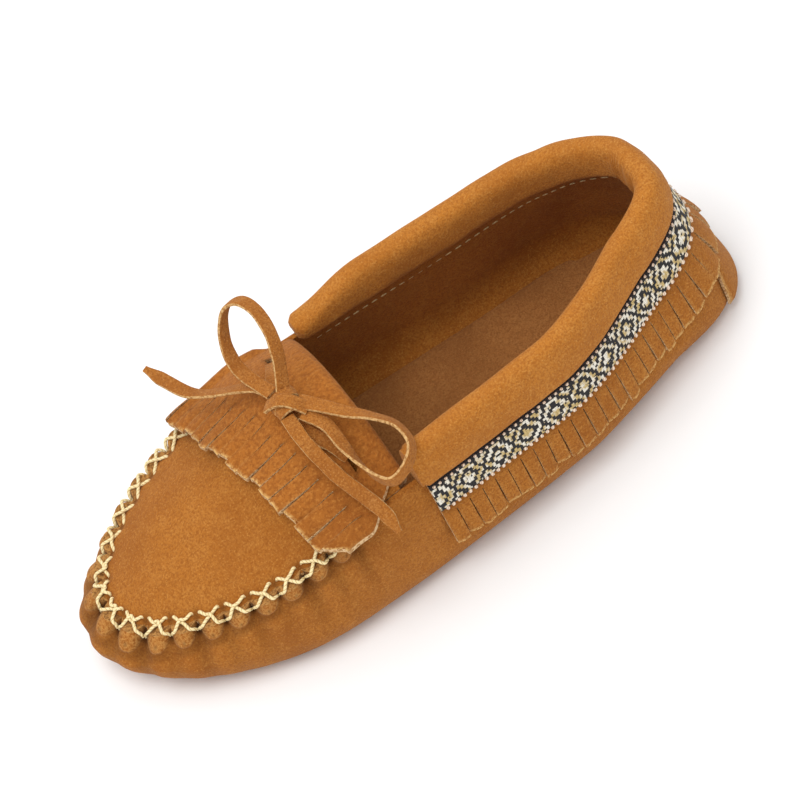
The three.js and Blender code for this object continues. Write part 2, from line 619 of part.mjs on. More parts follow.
/** Points are chosen by hand round the knot; faces are the directions the flat side looks. */
const lacePieces = {
  lace_loop_right: {
    points: [L(24.6, -2.6, 69.6), L(22.6, -3.6, 74), L(21, -5.4, 78.5), L(19.3, -10, 83.5), L(19, -16.6, 87),
      L(20.9, -22.3, 88), L(24.6, -25.2, 86), L(27.9, -25.1, 81), L(30.8, -22, 75), L(31.8, -16.8, 70.8),
      L(30.8, -11, 69), L(29.2, -5, 70)],
    faces: [V(0, 1, 0.1), V(-0.3, 0.8, 0.3), V(-0.5, 0.2, 0.9), V(-0.2, -0.4, 1), V(0.3, -0.9, 0.4), V(0.5, -0.8, -0.4),
      V(0.2, -0.2, -1), V(0, 0.1, -1)],
    steps: 30,
  },
  lace_loop_left: {
    points: [L(21.6, 6, 67.9), L(18.6, 12, 67.4), L(14.6, 17, 66.2), L(9.4, 22.6, 65), L(4.9, 29.4, 63.6),
      L(4.7, 36.6, 61.9), L(8.9, 41.5, 61), L(15, 42.6, 59), L(18.2, 38.4, 58), L(19.9, 31.6, 59),
      L(20.8, 24.3, 62.2), L(21.2, 16.2, 64.9), L(22.9, 11.6, 66)],
    faces: [V(0, 0.2, 1), V(-0.3, 0, 1), V(-0.8, 0.1, 0.6), V(-0.7, 0.7, 0.25), V(0.2, 1, 0), V(1, 0.3, -0.2),
      V(0.5, 0, -1), V(0, -0.2, -1)],
    steps: 30,
  },
  lace_tail_right: {
    points: [L(27.4, -3, 68.2), L(30.2, -8.2, 67), L(34.9, -14.2, 64.2), L(41.2, -20.4, 61.3), L(46.7, -26.4, 60.4),
      L(50.3, -33.9, 61.8), L(53.3, -41, 64)],
    faces: [V(0, 0, 1), V(0, -0.3, 1), V(0.2, -0.75, 0.65), V(0.2, -0.75, 0.65), V(0, -0.2, 1), V(0, 0.2, 1)],
    steps: 18,
  },
  lace_tail_left: {
    points: [L(30.4, 9.2, 66.8), L(29.4, 15.5, 64.6), L(28.4, 22.5, 60.9), L(26.9, 29.6, 57.4), L(24.2, 37, 53.2),
      L(22.2, 43.2, 49.6), L(21.8, 48.6, 44.6)],
    faces: [V(0, 0.2, 1), V(0, 0.3, 1), V(0.2, 0.4, 0.9), V(0.2, 0.6, 0.8), V(0.2, 0.8, 0.6), V(0.3, 0.9, 0.3)],
    steps: 18,
  },
};
for (const [name, { points, faces, steps }] of Object.entries(lacePieces)) {
  add(name, thong(points, faces, steps), LACE_COLOUR, 0.95);
}

// The stretches that lie on the flap, from each slit to the knot, and the one under it between the slits.
const SLIT_ACROSS = 0.6;
const KNOT_ACROSS = 0.08; // the knot sits this share to the wearer's left of the middle
function laceOnFlap(side) {
  const places = [[SLIT_FROM_FOLD, SLIT_ACROSS], [10, 0.42], [12.5, 0.27], [14, 0.15]];
  const climb = (i) => GAP + LACE + 0.3 * i;
  const place = ([run, across], i) => flapPoint(run, side * across + KNOT_ACROSS * i / 3, 0);
  const points = places.map((spot, i) => place(spot, i).add(V(0, 0, climb(i))));
  return thong(points, [V(0, side * 0.5, 1), V(0, 0, 1), V(0, 0, 1)], 10);
}
add('lace_run_left', laceOnFlap(1), LACE_COLOUR, 0.95);
add('lace_run_right', laceOnFlap(-1), LACE_COLOUR, 0.95);
const underAcross = [-0.5, -0.25, 0, 0.25, 0.5];
const underPoints = underAcross.map((across) => {
  const below = flapPoint(SLIT_FROM_FOLD, across, 1);
  return below.setZ((below.z + instepHeight(below.x, below.y)) / 2);
});
add('lace_run_under', thong(underPoints, [V(0, -0.4, 1), V(0, 0, 1), V(0, 0.4, 1)], 12), LACE_COLOUR, 0.95);

const knotBall = new THREE.SphereGeometry(1, 14, 10);
knotBall.scale(4.2, 4.2, 3);
knotBall.translate(KNOT.x, KNOT.y, KNOT.z);
add('lace_knot', knotBall, LACE_COLOUR, 0.95);

export default shoe;
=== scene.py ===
"""A left suede moccasin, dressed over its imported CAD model.

The shoe is one soft hide wrapped round the foot, an apron sewn over the toes with crossed threads,
a fringed flap folded over the instep under a bow, a padded collar, a woven braid and a cut fringe.
Forms are worked out in millimetres, +X the toe, +Y the wearer's left, and written in metres.
"""

import logging
import math
from dataclasses import dataclass, field
from enum import Enum

import bmesh
import bpy
import numpy as np
from mathutils import Matrix, Vector

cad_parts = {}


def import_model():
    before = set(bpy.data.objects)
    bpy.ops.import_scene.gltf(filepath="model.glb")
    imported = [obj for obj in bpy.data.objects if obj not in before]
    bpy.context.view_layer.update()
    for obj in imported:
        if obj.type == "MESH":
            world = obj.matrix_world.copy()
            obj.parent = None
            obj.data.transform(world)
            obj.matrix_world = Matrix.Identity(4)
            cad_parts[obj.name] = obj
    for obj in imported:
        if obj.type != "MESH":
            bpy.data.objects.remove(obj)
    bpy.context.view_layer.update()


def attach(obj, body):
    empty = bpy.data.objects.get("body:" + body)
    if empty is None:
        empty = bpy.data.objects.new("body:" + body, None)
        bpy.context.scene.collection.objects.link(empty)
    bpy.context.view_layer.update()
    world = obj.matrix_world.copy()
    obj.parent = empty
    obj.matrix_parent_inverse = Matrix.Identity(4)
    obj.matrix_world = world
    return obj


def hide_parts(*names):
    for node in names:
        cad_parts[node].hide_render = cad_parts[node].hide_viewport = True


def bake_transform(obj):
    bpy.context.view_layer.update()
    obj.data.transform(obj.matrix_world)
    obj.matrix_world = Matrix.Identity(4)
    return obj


log = logging.getLogger("moccasin")
MM = 0.001
TAU = 2 * math.pi
Array = np.ndarray


class Body(Enum):
    """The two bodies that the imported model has."""

    SHOE = "shoe"
    FLAP = "flap"


class Slot(Enum):
    """Material slots of the record."""

    SUEDE = "suede"
    FLAP = "flap_suede"
    LACE = "lace_suede"
    SOCK = "sock_leather"
    FOAM = "foam"
    THREAD = "thread"
    BRAID = "braid"
    BRAID_THREAD = "braid_thread"


# ---- Numbers and curves ------------------------------------------------------------------------


def smooth(t: Array | float) -> Array:
    """Ease t*t*(3 - 2t) with t held between 0 and 1."""
    t = np.clip(t, 0, 1)
    return t * t * (3 - 2 * t)


def mix(a: Array | float, b: Array | float, t: Array | float) -> Array:
    """Straight blend a + (b - a) t."""
    return a + (b - a) * t


def along(stations: list[tuple[float, float]], x: Array | float) -> Array:
    """Monotone cubic through stations: ease(v0, v1) + w t (1 - t) (m0 (1 - t) - m1 t).

    Args:
        stations: pairs of place and value, in order of place.
        x: places to read.

    Returns:
        The values at x, level beyond the end stations.
    """
    at, value = np.array(stations, float).T
    slope = np.diff(value) / np.diff(at)
    both = slope[:-1] * slope[1:]
    total = np.where(both > 0, slope[:-1] + slope[1:], 1.0)
    inner = np.where(both > 0, 2 * both / total, 0.0)
    tangent = np.concatenate([slope[:1], inner, slope[-1:]])
    x = np.clip(np.asarray(x, float), at[0], at[-1])
    i = np.clip(np.searchsorted(at, x, side="right") - 1, 0, len(at) - 2)
    wide = at[i + 1] - at[i]
    t = (x - at[i]) / wide
    bend = tangent[i] * (1 - t) - tangent[i + 1] * t
    return mix(value[i], value[i + 1], smooth(t)) + wide * t * (1 - t) * bend


def round_end(d: Array, length: float, fullness: float) -> Array:
    """Share of full width at distance d from a rounded end: (1 - (1 - d/length)^f)^(1/f)."""
    return (1 - (1 - np.clip(d / length, 0, 1)) ** fullness) ** (1 / fullness)


def ripple(points: Array, wavelength: float, seed: int) -> Array:
    """Soft noise, about -1 to 1: the sum of twelve sine waves in seeded directions.

    Args:
        points: places, mm, with x, y and z last.
        wavelength: middle wavelength, mm.
        seed: which waves.

    Returns:
        One value for each place.
    """
    rng = np.random.default_rng(seed)
    ways = rng.normal(size=(12, 3))
    ways *= (TAU / wavelength * rng.uniform(0.6, 1.6, 12) / np.linalg.norm(ways, axis=1))[:, None]
    return np.sin(points @ ways.T + rng.uniform(0, TAU, 12)).sum(-1) / 3.5


def curve(points: Array, count: int) -> Array:
    """Uniform Catmull-Rom curve through points, ends mirrored, at count even parameters.

    Args:
        points: the points it passes through, one row each.
        count: how many places to return.

    Returns:
        The places, count by 3.
    """
    p = np.vstack([2 * points[0] - points[1], points, 2 * points[-1] - points[-2]])
    at = np.linspace(0, len(points) - 1, count)
    i = np.minimum(at.astype(int), len(points) - 2)
    t = (at - i)[:, None]
    a, b, c, d = p[i], p[i + 1], p[i + 2], p[i + 3]
    cube = (3 * (b - c) + d - a) * t**3 + (2 * a - 5 * b + 4 * c - d) * t**2
    return b + 0.5 * (cube + (c - a) * t)


def unit(v: Array) -> Array:
    """Vectors of length one."""
    return v / np.maximum(np.linalg.norm(v, axis=-1, keepdims=True), 1e-9)


def signed_power(v: Array, exponent: Array | float) -> Array:
    """Power that keeps its sign: sgn(v) |v|^exponent."""
    return np.sign(v) * np.abs(v) ** exponent


def distances(points: Array) -> Array:
    """Distance run at each of a line of points, from 0 at the first."""
    return np.concatenate([[0], np.cumsum(np.linalg.norm(np.diff(points, axis=0), axis=1))])


def lifted(plan: Array, z: Array) -> Array:
    """Points over places in plan, at heights z."""
    return np.concatenate([plan, z[..., None]], -1)


def cut_columns(half: float, count: int, per_strip: int, gap: float) -> tuple[Array, Array, Array, Array]:
    """Columns of a sheet cut into strips: strip centres -half + (k + 1/2) pitch, pitch 2 half / count.

    Args:
        half: half the sheet's width.
        count: how many strips.
        per_strip: columns of each strip.
        gap: from the middle of a cut to the strip's edge.

    Returns:
        Places, strip numbers, places within the strip from -1 to 1, and which columns are cuts.
    """
    inside = np.linspace(-1, 1, per_strip)
    pitch = 2 * half / count
    centre = -half + (np.arange(count) + 0.5) * pitch
    place = (centre[:, None] + inside[None] * (pitch / 2 - gap)).ravel()
    is_cut = (np.arange(len(place) - 1) + 1) % per_strip == 0
    return place, np.repeat(np.arange(count), per_strip), np.tile(inside, count), is_cut


# ---- Meshes ------------------------------------------------------------------------------------


@dataclass
class Surface:
    """Points in mm, four-sided faces, and what is known at each."""

    points: Array
    quads: Array
    rim: Array
    marks: dict[str, Array] = field(default_factory=dict)
    uv: Array | None = None

    def facing_out(self) -> "Surface":
        """Turns all faces over if the enclosed volume, the sum of a.(b x c)/6, is negative.

        Returns:
            The surface itself.
        """
        a, b, c, d = (self.points[self.quads[:, i]] for i in range(4))
        volume = (a * np.cross(b, c)).sum() + (a * np.cross(c, d)).sum()
        if volume < 0:
            self.quads = self.quads[:, ::-1]
        return self

    def make(self, name: str, finishes: list[bpy.types.Material], crease: float = 50) -> bpy.types.Object:
        """Writes the surface into a new object.

        Args:
            name: the object's name.
            finishes: the material of the faces and, if given, that of the cut edges.
            crease: edges that turn more than this many degrees stay sharp.

        Returns:
            The object, linked and smooth shaded.
        """
        used = np.unique(self.quads)
        renumber = np.zeros(len(self.points), int)
        renumber[used] = np.arange(len(used))
        quads = renumber[self.quads]
        mesh = bpy.data.meshes.new(name)
        mesh.from_pydata((self.points[used] * MM).tolist(), [], quads.tolist())
        for key, value in self.marks.items():
            layer = mesh.attributes.new(key, "FLOAT", "POINT")
            layer.data.foreach_set("value", value[used].astype(np.float32))
        if self.uv is not None:
            corner = np.zeros(len(mesh.loops), np.int32)
            mesh.loops.foreach_get("vertex_index", corner)
            layer = mesh.uv_layers.new(name="UVMap")
            layer.data.foreach_set("uv", self.uv[used][corner].astype(np.float32).ravel())
        for finish in finishes:
            mesh.materials.append(finish)
        if len(finishes) > 1:
            mesh.polygons.foreach_set("material_index", self.rim.astype(np.int32))
        self.weld(mesh)
        mesh.shade_smooth()
        mesh.set_sharp_from_angle(angle=math.radians(crease))
        obj = bpy.data.objects.new(name, mesh)
        bpy.context.scene.collection.objects.link(obj)
        return obj

    @staticmethod
    def weld(mesh: bpy.types.Mesh) -> None:
        """Joins corners that meet, at poles and closed ends, and drops empty faces.

        Args:
            mesh: the mesh to clean, changed in place.
        """
        work = bmesh.new()
        work.from_mesh(mesh)
        bmesh.ops.remove_doubles(work, verts=work.verts, dist=1e-6)
        bmesh.ops.dissolve_degenerate(work, dist=1e-7, edges=work.edges)
        work.to_mesh(mesh)
        work.free()


def cells(rows: int, cols: int, wrap: bool) -> tuple[Array, Array, Array, Array]:
    """Corner numbers of every cell of a grid, as four arrays of rows-1 by cells.

    Args:
        rows: rows of points.
        cols: points in a row.
        wrap: whether the last column joins the first.

    Returns:
        The four corners, in turn round each cell.
    """
    number = np.arange(rows * cols).reshape(rows, cols)
    if wrap:
        number = np.hstack([number, number[:, :1]])
    return number[:-1, :-1], number[:-1, 1:], number[1:, 1:], number[1:, :-1]


def tube_quads(rows: int, sides: int) -> Array:
    """Faces that join each ring of a tube to the next."""
    return np.stack(cells(rows, sides, True), -1).reshape(-1, 4)


def shell(
    outer: Array,
    inner: Array,
    keep: Array | None = None,
    wrap: bool = False,
    marks: dict[str, Array] | None = None,
    uv: Array | None = None,
) -> Surface:
    """A sheet with thickness between two grids, walled wherever a kept cell has no kept neighbour.

    Args:
        outer: rows by columns by 3 points of the outside.
        inner: the same for the inside.
        keep: which cells have material; all of them if left out.
        wrap: whether the last column joins the first.
        marks: named values at the grid's points.
        uv: rows by columns by 2 pattern places.

    Returns:
        The closed surface, facing outward.
    """
    rows, cols = outer.shape[:2]
    a, b, c, d = cells(rows, cols, wrap)
    keep = np.ones(a.shape, bool) if keep is None else keep
    below = rows * cols
    faces = [np.stack([a, b, c, d], -1)[keep], np.stack([d, c, b, a], -1)[keep] + below]
    plain = sum(len(f) for f in faces)
    empty_row, empty_col = np.zeros((1, keep.shape[1]), bool), np.zeros((rows - 1, 1), bool)
    before = np.vstack([empty_row, keep[:-1]])
    after = np.vstack([keep[1:], empty_row])
    left = np.roll(keep, 1, 1) if wrap else np.hstack([empty_col, keep[:, :-1]])
    right = np.roll(keep, -1, 1) if wrap else np.hstack([keep[:, 1:], empty_col])
    for other, (p, q) in ((before, (b, a)), (after, (d, c)), (left, (a, d)), (right, (c, b))):
        open_side = keep & ~other
        p, q = p[open_side], q[open_side]
        faces.append(np.stack([p, q, q + below, p + below], -1))
    quads = np.vstack(faces)
    return Surface(
        points=np.vstack([outer.reshape(-1, 3), inner.reshape(-1, 3)]),
        quads=quads,
        rim=np.arange(len(quads)) >= plain,
        marks={k: np.tile(v.ravel(), 2) for k, v in (marks or {}).items()},
        uv=None if uv is None else np.tile(uv.reshape(-1, 2), (2, 1)),
    ).facing_out()


def strap(
    path: Array, face: Array, width: Array, thick: Array, sides: int = 20, square: float = 5.0
) -> Surface:
    """A section carried along a path: w/2 sgn(cos)|cos|^(2/p) across, t/2 sgn(sin)|sin|^(2/p) up.

    Args:
        path: the centre line, K by 3.
        face: the way the flat side looks at each place, K by 3.
        width: width at each place.
        thick: thickness at each place.
        sides: points round the section.
        square: p, 2 for an ellipse and more for squarer corners.

    Returns:
        The closed surface; its rim is the two narrow sides and the ends.
    """
    run = unit(np.gradient(path, axis=0))
    across = unit(np.cross(run, face))
    normal = unit(np.cross(across, run))
    turn = np.arange(sides) / sides * TAU + TAU / sides / 2
    flat = width[:, None] / 2 * signed_power(np.cos(turn), 2 / square)
    high = thick[:, None] / 2 * signed_power(np.sin(turn), 2 / square)
    ring = path[:, None] + across[:, None] * flat[..., None] + normal[:, None] * high[..., None]
    ends = [np.broadcast_to(path[i], (1, sides, 3)) for i in (0, -1)]
    grid = np.concatenate([ends[0], ring, ends[1]])
    length = distances(path)
    length = np.concatenate([length[:1], length, length[-1:]])
    uv = np.stack(np.broadcast_arrays(length[:, None], turn[None] / TAU), -1)
    side = np.abs(np.cos(turn + TAU / sides / 2)) > 0.9
    rim = np.broadcast_to(side, (len(grid) - 1, sides)).copy()
    rim[[0, -1]] = True
    quads = tube_quads(len(grid), sides)
    return Surface(grid.reshape(-1, 3), quads, rim.ravel(), uv=uv.reshape(-1, 2)).facing_out()


def gather(parts: list[Surface]) -> Surface:
    """Several surfaces as one.

    Args:
        parts: the surfaces.

    Returns:
        One surface that holds them all.
    """
    starts = np.cumsum([0] + [len(p.points) for p in parts[:-1]])
    return Surface(
        points=np.vstack([p.points for p in parts]),
        quads=np.vstack([p.quads + s for p, s in zip(parts, starts)]),
        rim=np.concatenate([p.rim for p in parts]),
        uv=None if parts[0].uv is None else np.vstack([p.uv for p in parts]),
    )


# ---- Shader maths ------------------------------------------------------------------------------


class Wire:
    """A value or colour socket; arithmetic on it adds Math nodes."""

    def __init__(self, graph: "Graph", socket: bpy.types.NodeSocket) -> None:
        """Keeps the socket and the graph that it belongs to."""
        self.graph = graph
        self.socket = socket

    def math(self, kind: str, *others: "Wire | float", clamp: bool = False) -> "Wire":
        """A Math node of a kind with this value first.

        Args:
            kind: the node's operation.
            others: its further inputs.
            clamp: whether the result is held between 0 and 1.

        Returns:
            The result.
        """
        values = dict(enumerate([self, *others]))
        return self.graph.node("ShaderNodeMath", {"operation": kind, "use_clamp": clamp}, values)

    def __add__(self, other: "Wire | float") -> "Wire":
        """Sum."""
        return self.math("ADD", other)

    __radd__ = __add__

    def __sub__(self, other: "Wire | float") -> "Wire":
        """Difference."""
        return self.math("SUBTRACT", other)

    def __rsub__(self, other: float) -> "Wire":
        """A number less this."""
        return (self * -1) + other

    def __mul__(self, other: "Wire | float") -> "Wire":
        """Product."""
        return self.math("MULTIPLY", other)

    __rmul__ = __mul__

    def __truediv__(self, other: "Wire | float") -> "Wire":
        """Quotient."""
        return self.math("DIVIDE", other)

    def __gt__(self, other: "Wire | float") -> "Wire":
        """1 where this is greater, else 0."""
        return self.math("GREATER_THAN", other)

    def __lt__(self, other: "Wire | float") -> "Wire":
        """1 where this is less, else 0."""
        return self.math("LESS_THAN", other)

    def ramp(self, low: float, high: float) -> "Wire":
        """Smooth step from 0 at low to 1 at high."""
        values = {"Value": self, "From Min": low, "From Max": high}
        return self.graph.node("ShaderNodeMapRange", {"interpolation_type": "SMOOTHSTEP"}, values)


class Graph:
    """A material's nodes."""

    def __init__(self, name: str) -> None:
        """Starts an empty material with a Principled shader.

        Args:
            name: the material's name.
        """
        self.material = bpy.data.materials.new(name)
        self.material.use_nodes = True
        self.tree = self.material.node_tree
        self.shader = self.tree.nodes["Principled BSDF"]

    def feed(self, socket: bpy.types.NodeSocket, value: "Wire | float | tuple") -> None:
        """Gives a socket a number, a colour or a wire.

        Args:
            socket: the input.
            value: what it gets; three numbers are a solid colour.
        """
        if isinstance(value, Wire):
            self.tree.links.new(value.socket, socket)
        else:
            socket.default_value = (*value, 1.0) if isinstance(value, tuple) else value

    def node(self, kind: str, settings: dict, values: dict, output: int | str = 0) -> Wire:
        """Adds one node.

        Args:
            kind: the node's type.
            settings: its properties, set first.
            values: numbers, colours or wires for its inputs.
            output: which output to return.

        Returns:
            The output.
        """
        made = self.tree.nodes.new(kind)
        for key, value in settings.items():
            setattr(made, key, value)
        for key, value in values.items():
            self.feed(made.inputs[key], value)
        return Wire(self, made.outputs[output])

    def place(self) -> Wire:
        """Object coordinates, metres."""
        return self.node("ShaderNodeTexCoord", {}, {}, "Object")

    def pattern(self) -> tuple[Wire, Wire]:
        """The piece's own pattern places, u and v, mm.

        Returns:
            The two places.
        """
        uv = self.node("ShaderNodeUVMap", {"uv_map": "UVMap"}, {})
        parts = self.tree.nodes.new("ShaderNodeSeparateXYZ")
        self.tree.links.new(uv.socket, parts.inputs[0])
        return Wire(self, parts.outputs[0]), Wire(self, parts.outputs[1])

    def mark(self, name: str) -> Wire:
        """A value painted on the piece's points."""
        return self.node("ShaderNodeAttribute", {"attribute_name": name}, {}, "Fac")

    def noise(self, at: Wire, scale: float, detail: float = 2.0, rough: float = 0.5) -> Wire:
        """Noise, about 0 to 1, with scale features to the metre."""
        values = {"Vector": at, "Scale": scale, "Detail": detail, "Roughness": rough}
        return self.node("ShaderNodeTexNoise", {"noise_dimensions": "3D"}, values, 0)

    def blend(self, share: Wire | float, a: "Wire | tuple", b: "Wire | tuple") -> Wire:
        """Colour a towards b by a share."""
        settings = {"data_type": "RGBA", "blend_type": "MIX"}
        return self.node("ShaderNodeMix", settings, {0: share, 6: a, 7: b}, 2)

    def set(self, **values: "Wire | float | tuple") -> None:
        """Gives the shader's sockets numbers, colours or wires; underscores stand for spaces."""
        for key, value in values.items():
            self.feed(self.shader.inputs[key.replace("_", " ")], value)

    def bump(self, height: Wire, strength: float, distance: float) -> Wire:
        """Surface relief from a height, distance in metres."""
        values = {"Strength": strength, "Distance": distance, "Height": height}
        return self.node("ShaderNodeBump", {}, values)


def paint(red: int, green: int, blue: int) -> tuple[float, float, float]:
    """Linear colour from 0-255 display values."""
    return tuple(c / 255 / 12.92 if c < 11 else ((c / 255 + 0.055) / 1.055) ** 2.4 for c in (red, green, blue))


@dataclass(frozen=True)
class Suede:
    """Napped hide: cloudy colour, a fine fibrous grain and a soft sheen."""

    name: str
    base: tuple[float, float, float]
    deep: tuple[float, float, float]
    pale: tuple[float, float, float]
    grain: float = 1.0
    marked: bool = False

    def make(self) -> bpy.types.Material:
        """Clouds of 25 mm, nap of 5 mm and fibres of 0.7 mm; the fold mark darkens folds, holes and undersides as
        painted shade, and the fray mark pales cut edges.

        Returns:
            The material.
        """
        g = Graph(self.name)
        at = g.place()
        cloud = g.noise(at, 42, 3)
        nap = g.noise(at, 210, 4, 0.62)
        fibre = g.noise(at, 1350 * self.grain, 3, 0.7)
        fleck = g.noise(at, 1700 * self.grain, 2, 0.6)
        colour = g.blend(cloud.ramp(0.1, 0.62), self.deep, self.base)
        colour = g.blend(nap.ramp(0.42, 0.7) * 0.22, colour, self.pale)
        colour = g.blend(fibre.ramp(0.6, 0.36) * 0.8, colour, self.deep)
        colour = g.blend(fleck.ramp(0.52, 0.72) * 0.5, colour, self.pale)
        if self.marked:
            # Painted shade: the fold mark darkens towards a deep brown in folds, holes, dents, and under the collar,
            # the lobes and the braid.
            shade = tuple(c * 0.28 for c in self.deep)
            colour = g.blend(g.mark("fold").math("MULTIPLY", 0.85, clamp=True), colour, shade)
            fray = g.mark("fray") * fibre.ramp(0.36, 0.6)
            colour = g.blend(fray, colour, paint(222, 184, 118))
        height = fibre * 0.6 + nap * 0.5 + fleck * 0.25
        g.set(
            Base_Color=colour,
            Roughness=0.86 + fibre * 0.12,
            Normal=g.bump(height, 0.75, 0.0008),
            Sheen_Weight=0.12,
            Sheen_Roughness=0.45,
            Sheen_Tint=(1.0, 0.78, 0.5),
            Specular_IOR_Level=0.15,
        )
        return g.material


@dataclass(frozen=True)
class CutEdge:
    """The pale fibrous side of cut suede."""

    name: str
    pale: tuple[float, float, float] = paint(222, 188, 142)
    dark: tuple[float, float, float] = paint(158, 108, 60)

    def make(self) -> bpy.types.Material:
        """Fibres of 1 mm between the two colours.

        Returns:
            The material.
        """
        g = Graph(self.name)
        fibre = g.noise(g.place(), 1100, 3, 0.7)
        g.set(
            Base_Color=g.blend(fibre.ramp(0.34, 0.62), self.dark, self.pale),
            Roughness=0.95,
            Normal=g.bump(fibre, 0.8, 0.0006),
            Specular_IOR_Level=0.1,
        )
        return g.material


@dataclass(frozen=True)
class Twine:
    """Twisted thread: slanted strands along the piece's own pattern."""

    name: str
    light: tuple[float, float, float]
    dark: tuple[float, float, float]
    pitch: float = 2.4
    shine: float = 0.5

    def make(self) -> bpy.types.Material:
        """Strand height |sin(pi (u / pitch + 2 v))|, u mm along and v turns round.

        Returns:
            The material.
        """
        g = Graph(self.name)
        u, v = g.pattern()
        strand = ((u / self.pitch + v * 2) * math.pi).math("SINE").math("ABSOLUTE")
        fleck = g.noise(g.place(), 900, 2)
        colour = g.blend(strand.ramp(0.05, 0.55), self.dark, self.light)
        colour = g.blend(fleck.ramp(0.5, 0.8) * 0.35, colour, self.dark)
        g.set(Base_Color=colour, Roughness=self.shine, Normal=g.bump(strand, 0.4, 0.0002))
        return g.material


@dataclass(frozen=True)
class WovenBraid:
    """Black ribbon with pale lozenges between two plain selvedges."""

    name: str
    repeat: float = 11.0
    pick: float = 1.0
    row: float = 0.8
    middle: float = 5.75
    figured: float = 4.6
    selvedge: float = 4.9
    black: tuple[float, float, float] = paint(26, 22, 24)
    cream: tuple[float, float, float] = paint(246, 240, 224)
    gold: tuple[float, float, float] = paint(206, 178, 116)
    plum: tuple[float, float, float] = paint(34, 20, 22)

    def make(self) -> bpy.types.Material:
        """Lozenge bands: fract(1.7 w + 1.2 c + noise), w the zig-zag along and c the distance across.

        Returns:
            The material.
        """
        g = Graph(self.name)
        u, v = g.pattern()
        u_step = (u / self.pick).math("FLOOR") * self.pick
        v_step = (v / self.row).math("FLOOR") * self.row
        zig = ((u_step / self.repeat).math("FRACT") - 0.5).math("ABSOLUTE") * 2
        middle = (v_step - self.middle).math("ABSOLUTE") / self.figured
        jitter = g.noise(g.place(), 300, 1) * 0.7
        band = (zig * 1.7 + middle * 1.2 + jitter).math("FRACT")
        light = (band > 0.5) * (middle < 0.99)
        tone = g.noise(g.place(), 420, 2)
        yarn = g.blend(tone.ramp(0.4, 0.62), self.cream, self.gold)
        colour = g.blend(light, self.black, yarn)
        border = (v - self.middle).math("ABSOLUTE") > self.selvedge
        colour = g.blend(border, colour, self.plum)
        rib = ((u / self.pick) * math.pi).math("SINE").math("ABSOLUTE")
        row = ((v / 0.6 + u / self.pick * 0.5) * math.pi).math("SINE").math("ABSOLUTE")
        weave = rib * 0.5 + row * 0.5
        colour = g.blend((1 - weave.ramp(0.1, 0.6)) * 0.3, colour, self.black)
        g.set(Base_Color=colour, Roughness=0.7, Normal=g.bump(weave + light * 0.6, 0.8, 0.0005))
        return g.material


@dataclass(frozen=True)
class Foam:
    """Open-cell foam under the insole."""

    name: str

    def make(self) -> bpy.types.Material:
        """Cells of 1.5 mm.

        Returns:
            The material.
        """
        g = Graph(self.name)
        cell = g.noise(g.place(), 700, 4, 0.7)
        colour = g.blend(cell.ramp(0.35, 0.65), paint(190, 178, 148), paint(226, 218, 194))
        g.set(Base_Color=colour, Roughness=0.95, Normal=g.bump(cell, 0.6, 0.0008))
        return g.material


TAN = Suede("tan_suede", paint(172, 107, 40), paint(142, 80, 25), paint(200, 140, 68), marked=True)
# Painted light: a brighter copy of the tan suede for the collar's lit top.
COLLAR_TAN_PAINTED_LIGHT = Suede("collar_suede_painted_light", paint(184, 117, 45), paint(156, 91, 31), paint(206, 148, 76), marked=True)
# The flap's own coarser-grained suede, its colour made darker than the tan as painted shade.
FLAP_TAN_PAINTED_SHADE = Suede("flap_suede", paint(166, 100, 38), paint(138, 78, 27), paint(188, 124, 56), 0.6, True)
LACE_TAN = Suede("lace_suede", paint(172, 108, 44), paint(140, 80, 30), paint(202, 144, 80), 1.1)
SOCK_BROWN = Suede("sock_suede", paint(160, 104, 54), paint(130, 80, 38), paint(178, 124, 70), 1.1)
CUT = CutEdge("cut_suede")
SEAM_EDGE = CutEdge("seam_edge", paint(182, 132, 74), paint(118, 78, 40))
LACE_CUT = CutEdge("cut_lace", paint(212, 172, 116), paint(156, 106, 58))
WAXED = Twine("waxed_thread", paint(236, 216, 164), paint(190, 158, 98), 1.3)
FINE = Twine("fine_thread", paint(236, 214, 190), paint(172, 130, 104), 0.9)
BRAID = WovenBraid("woven_braid")
FOAM = Foam("insole_foam")
Finish = Suede | CutEdge | Twine | WovenBraid | Foam


# ---- The form of the shoe ----------------------------------------------------------------------


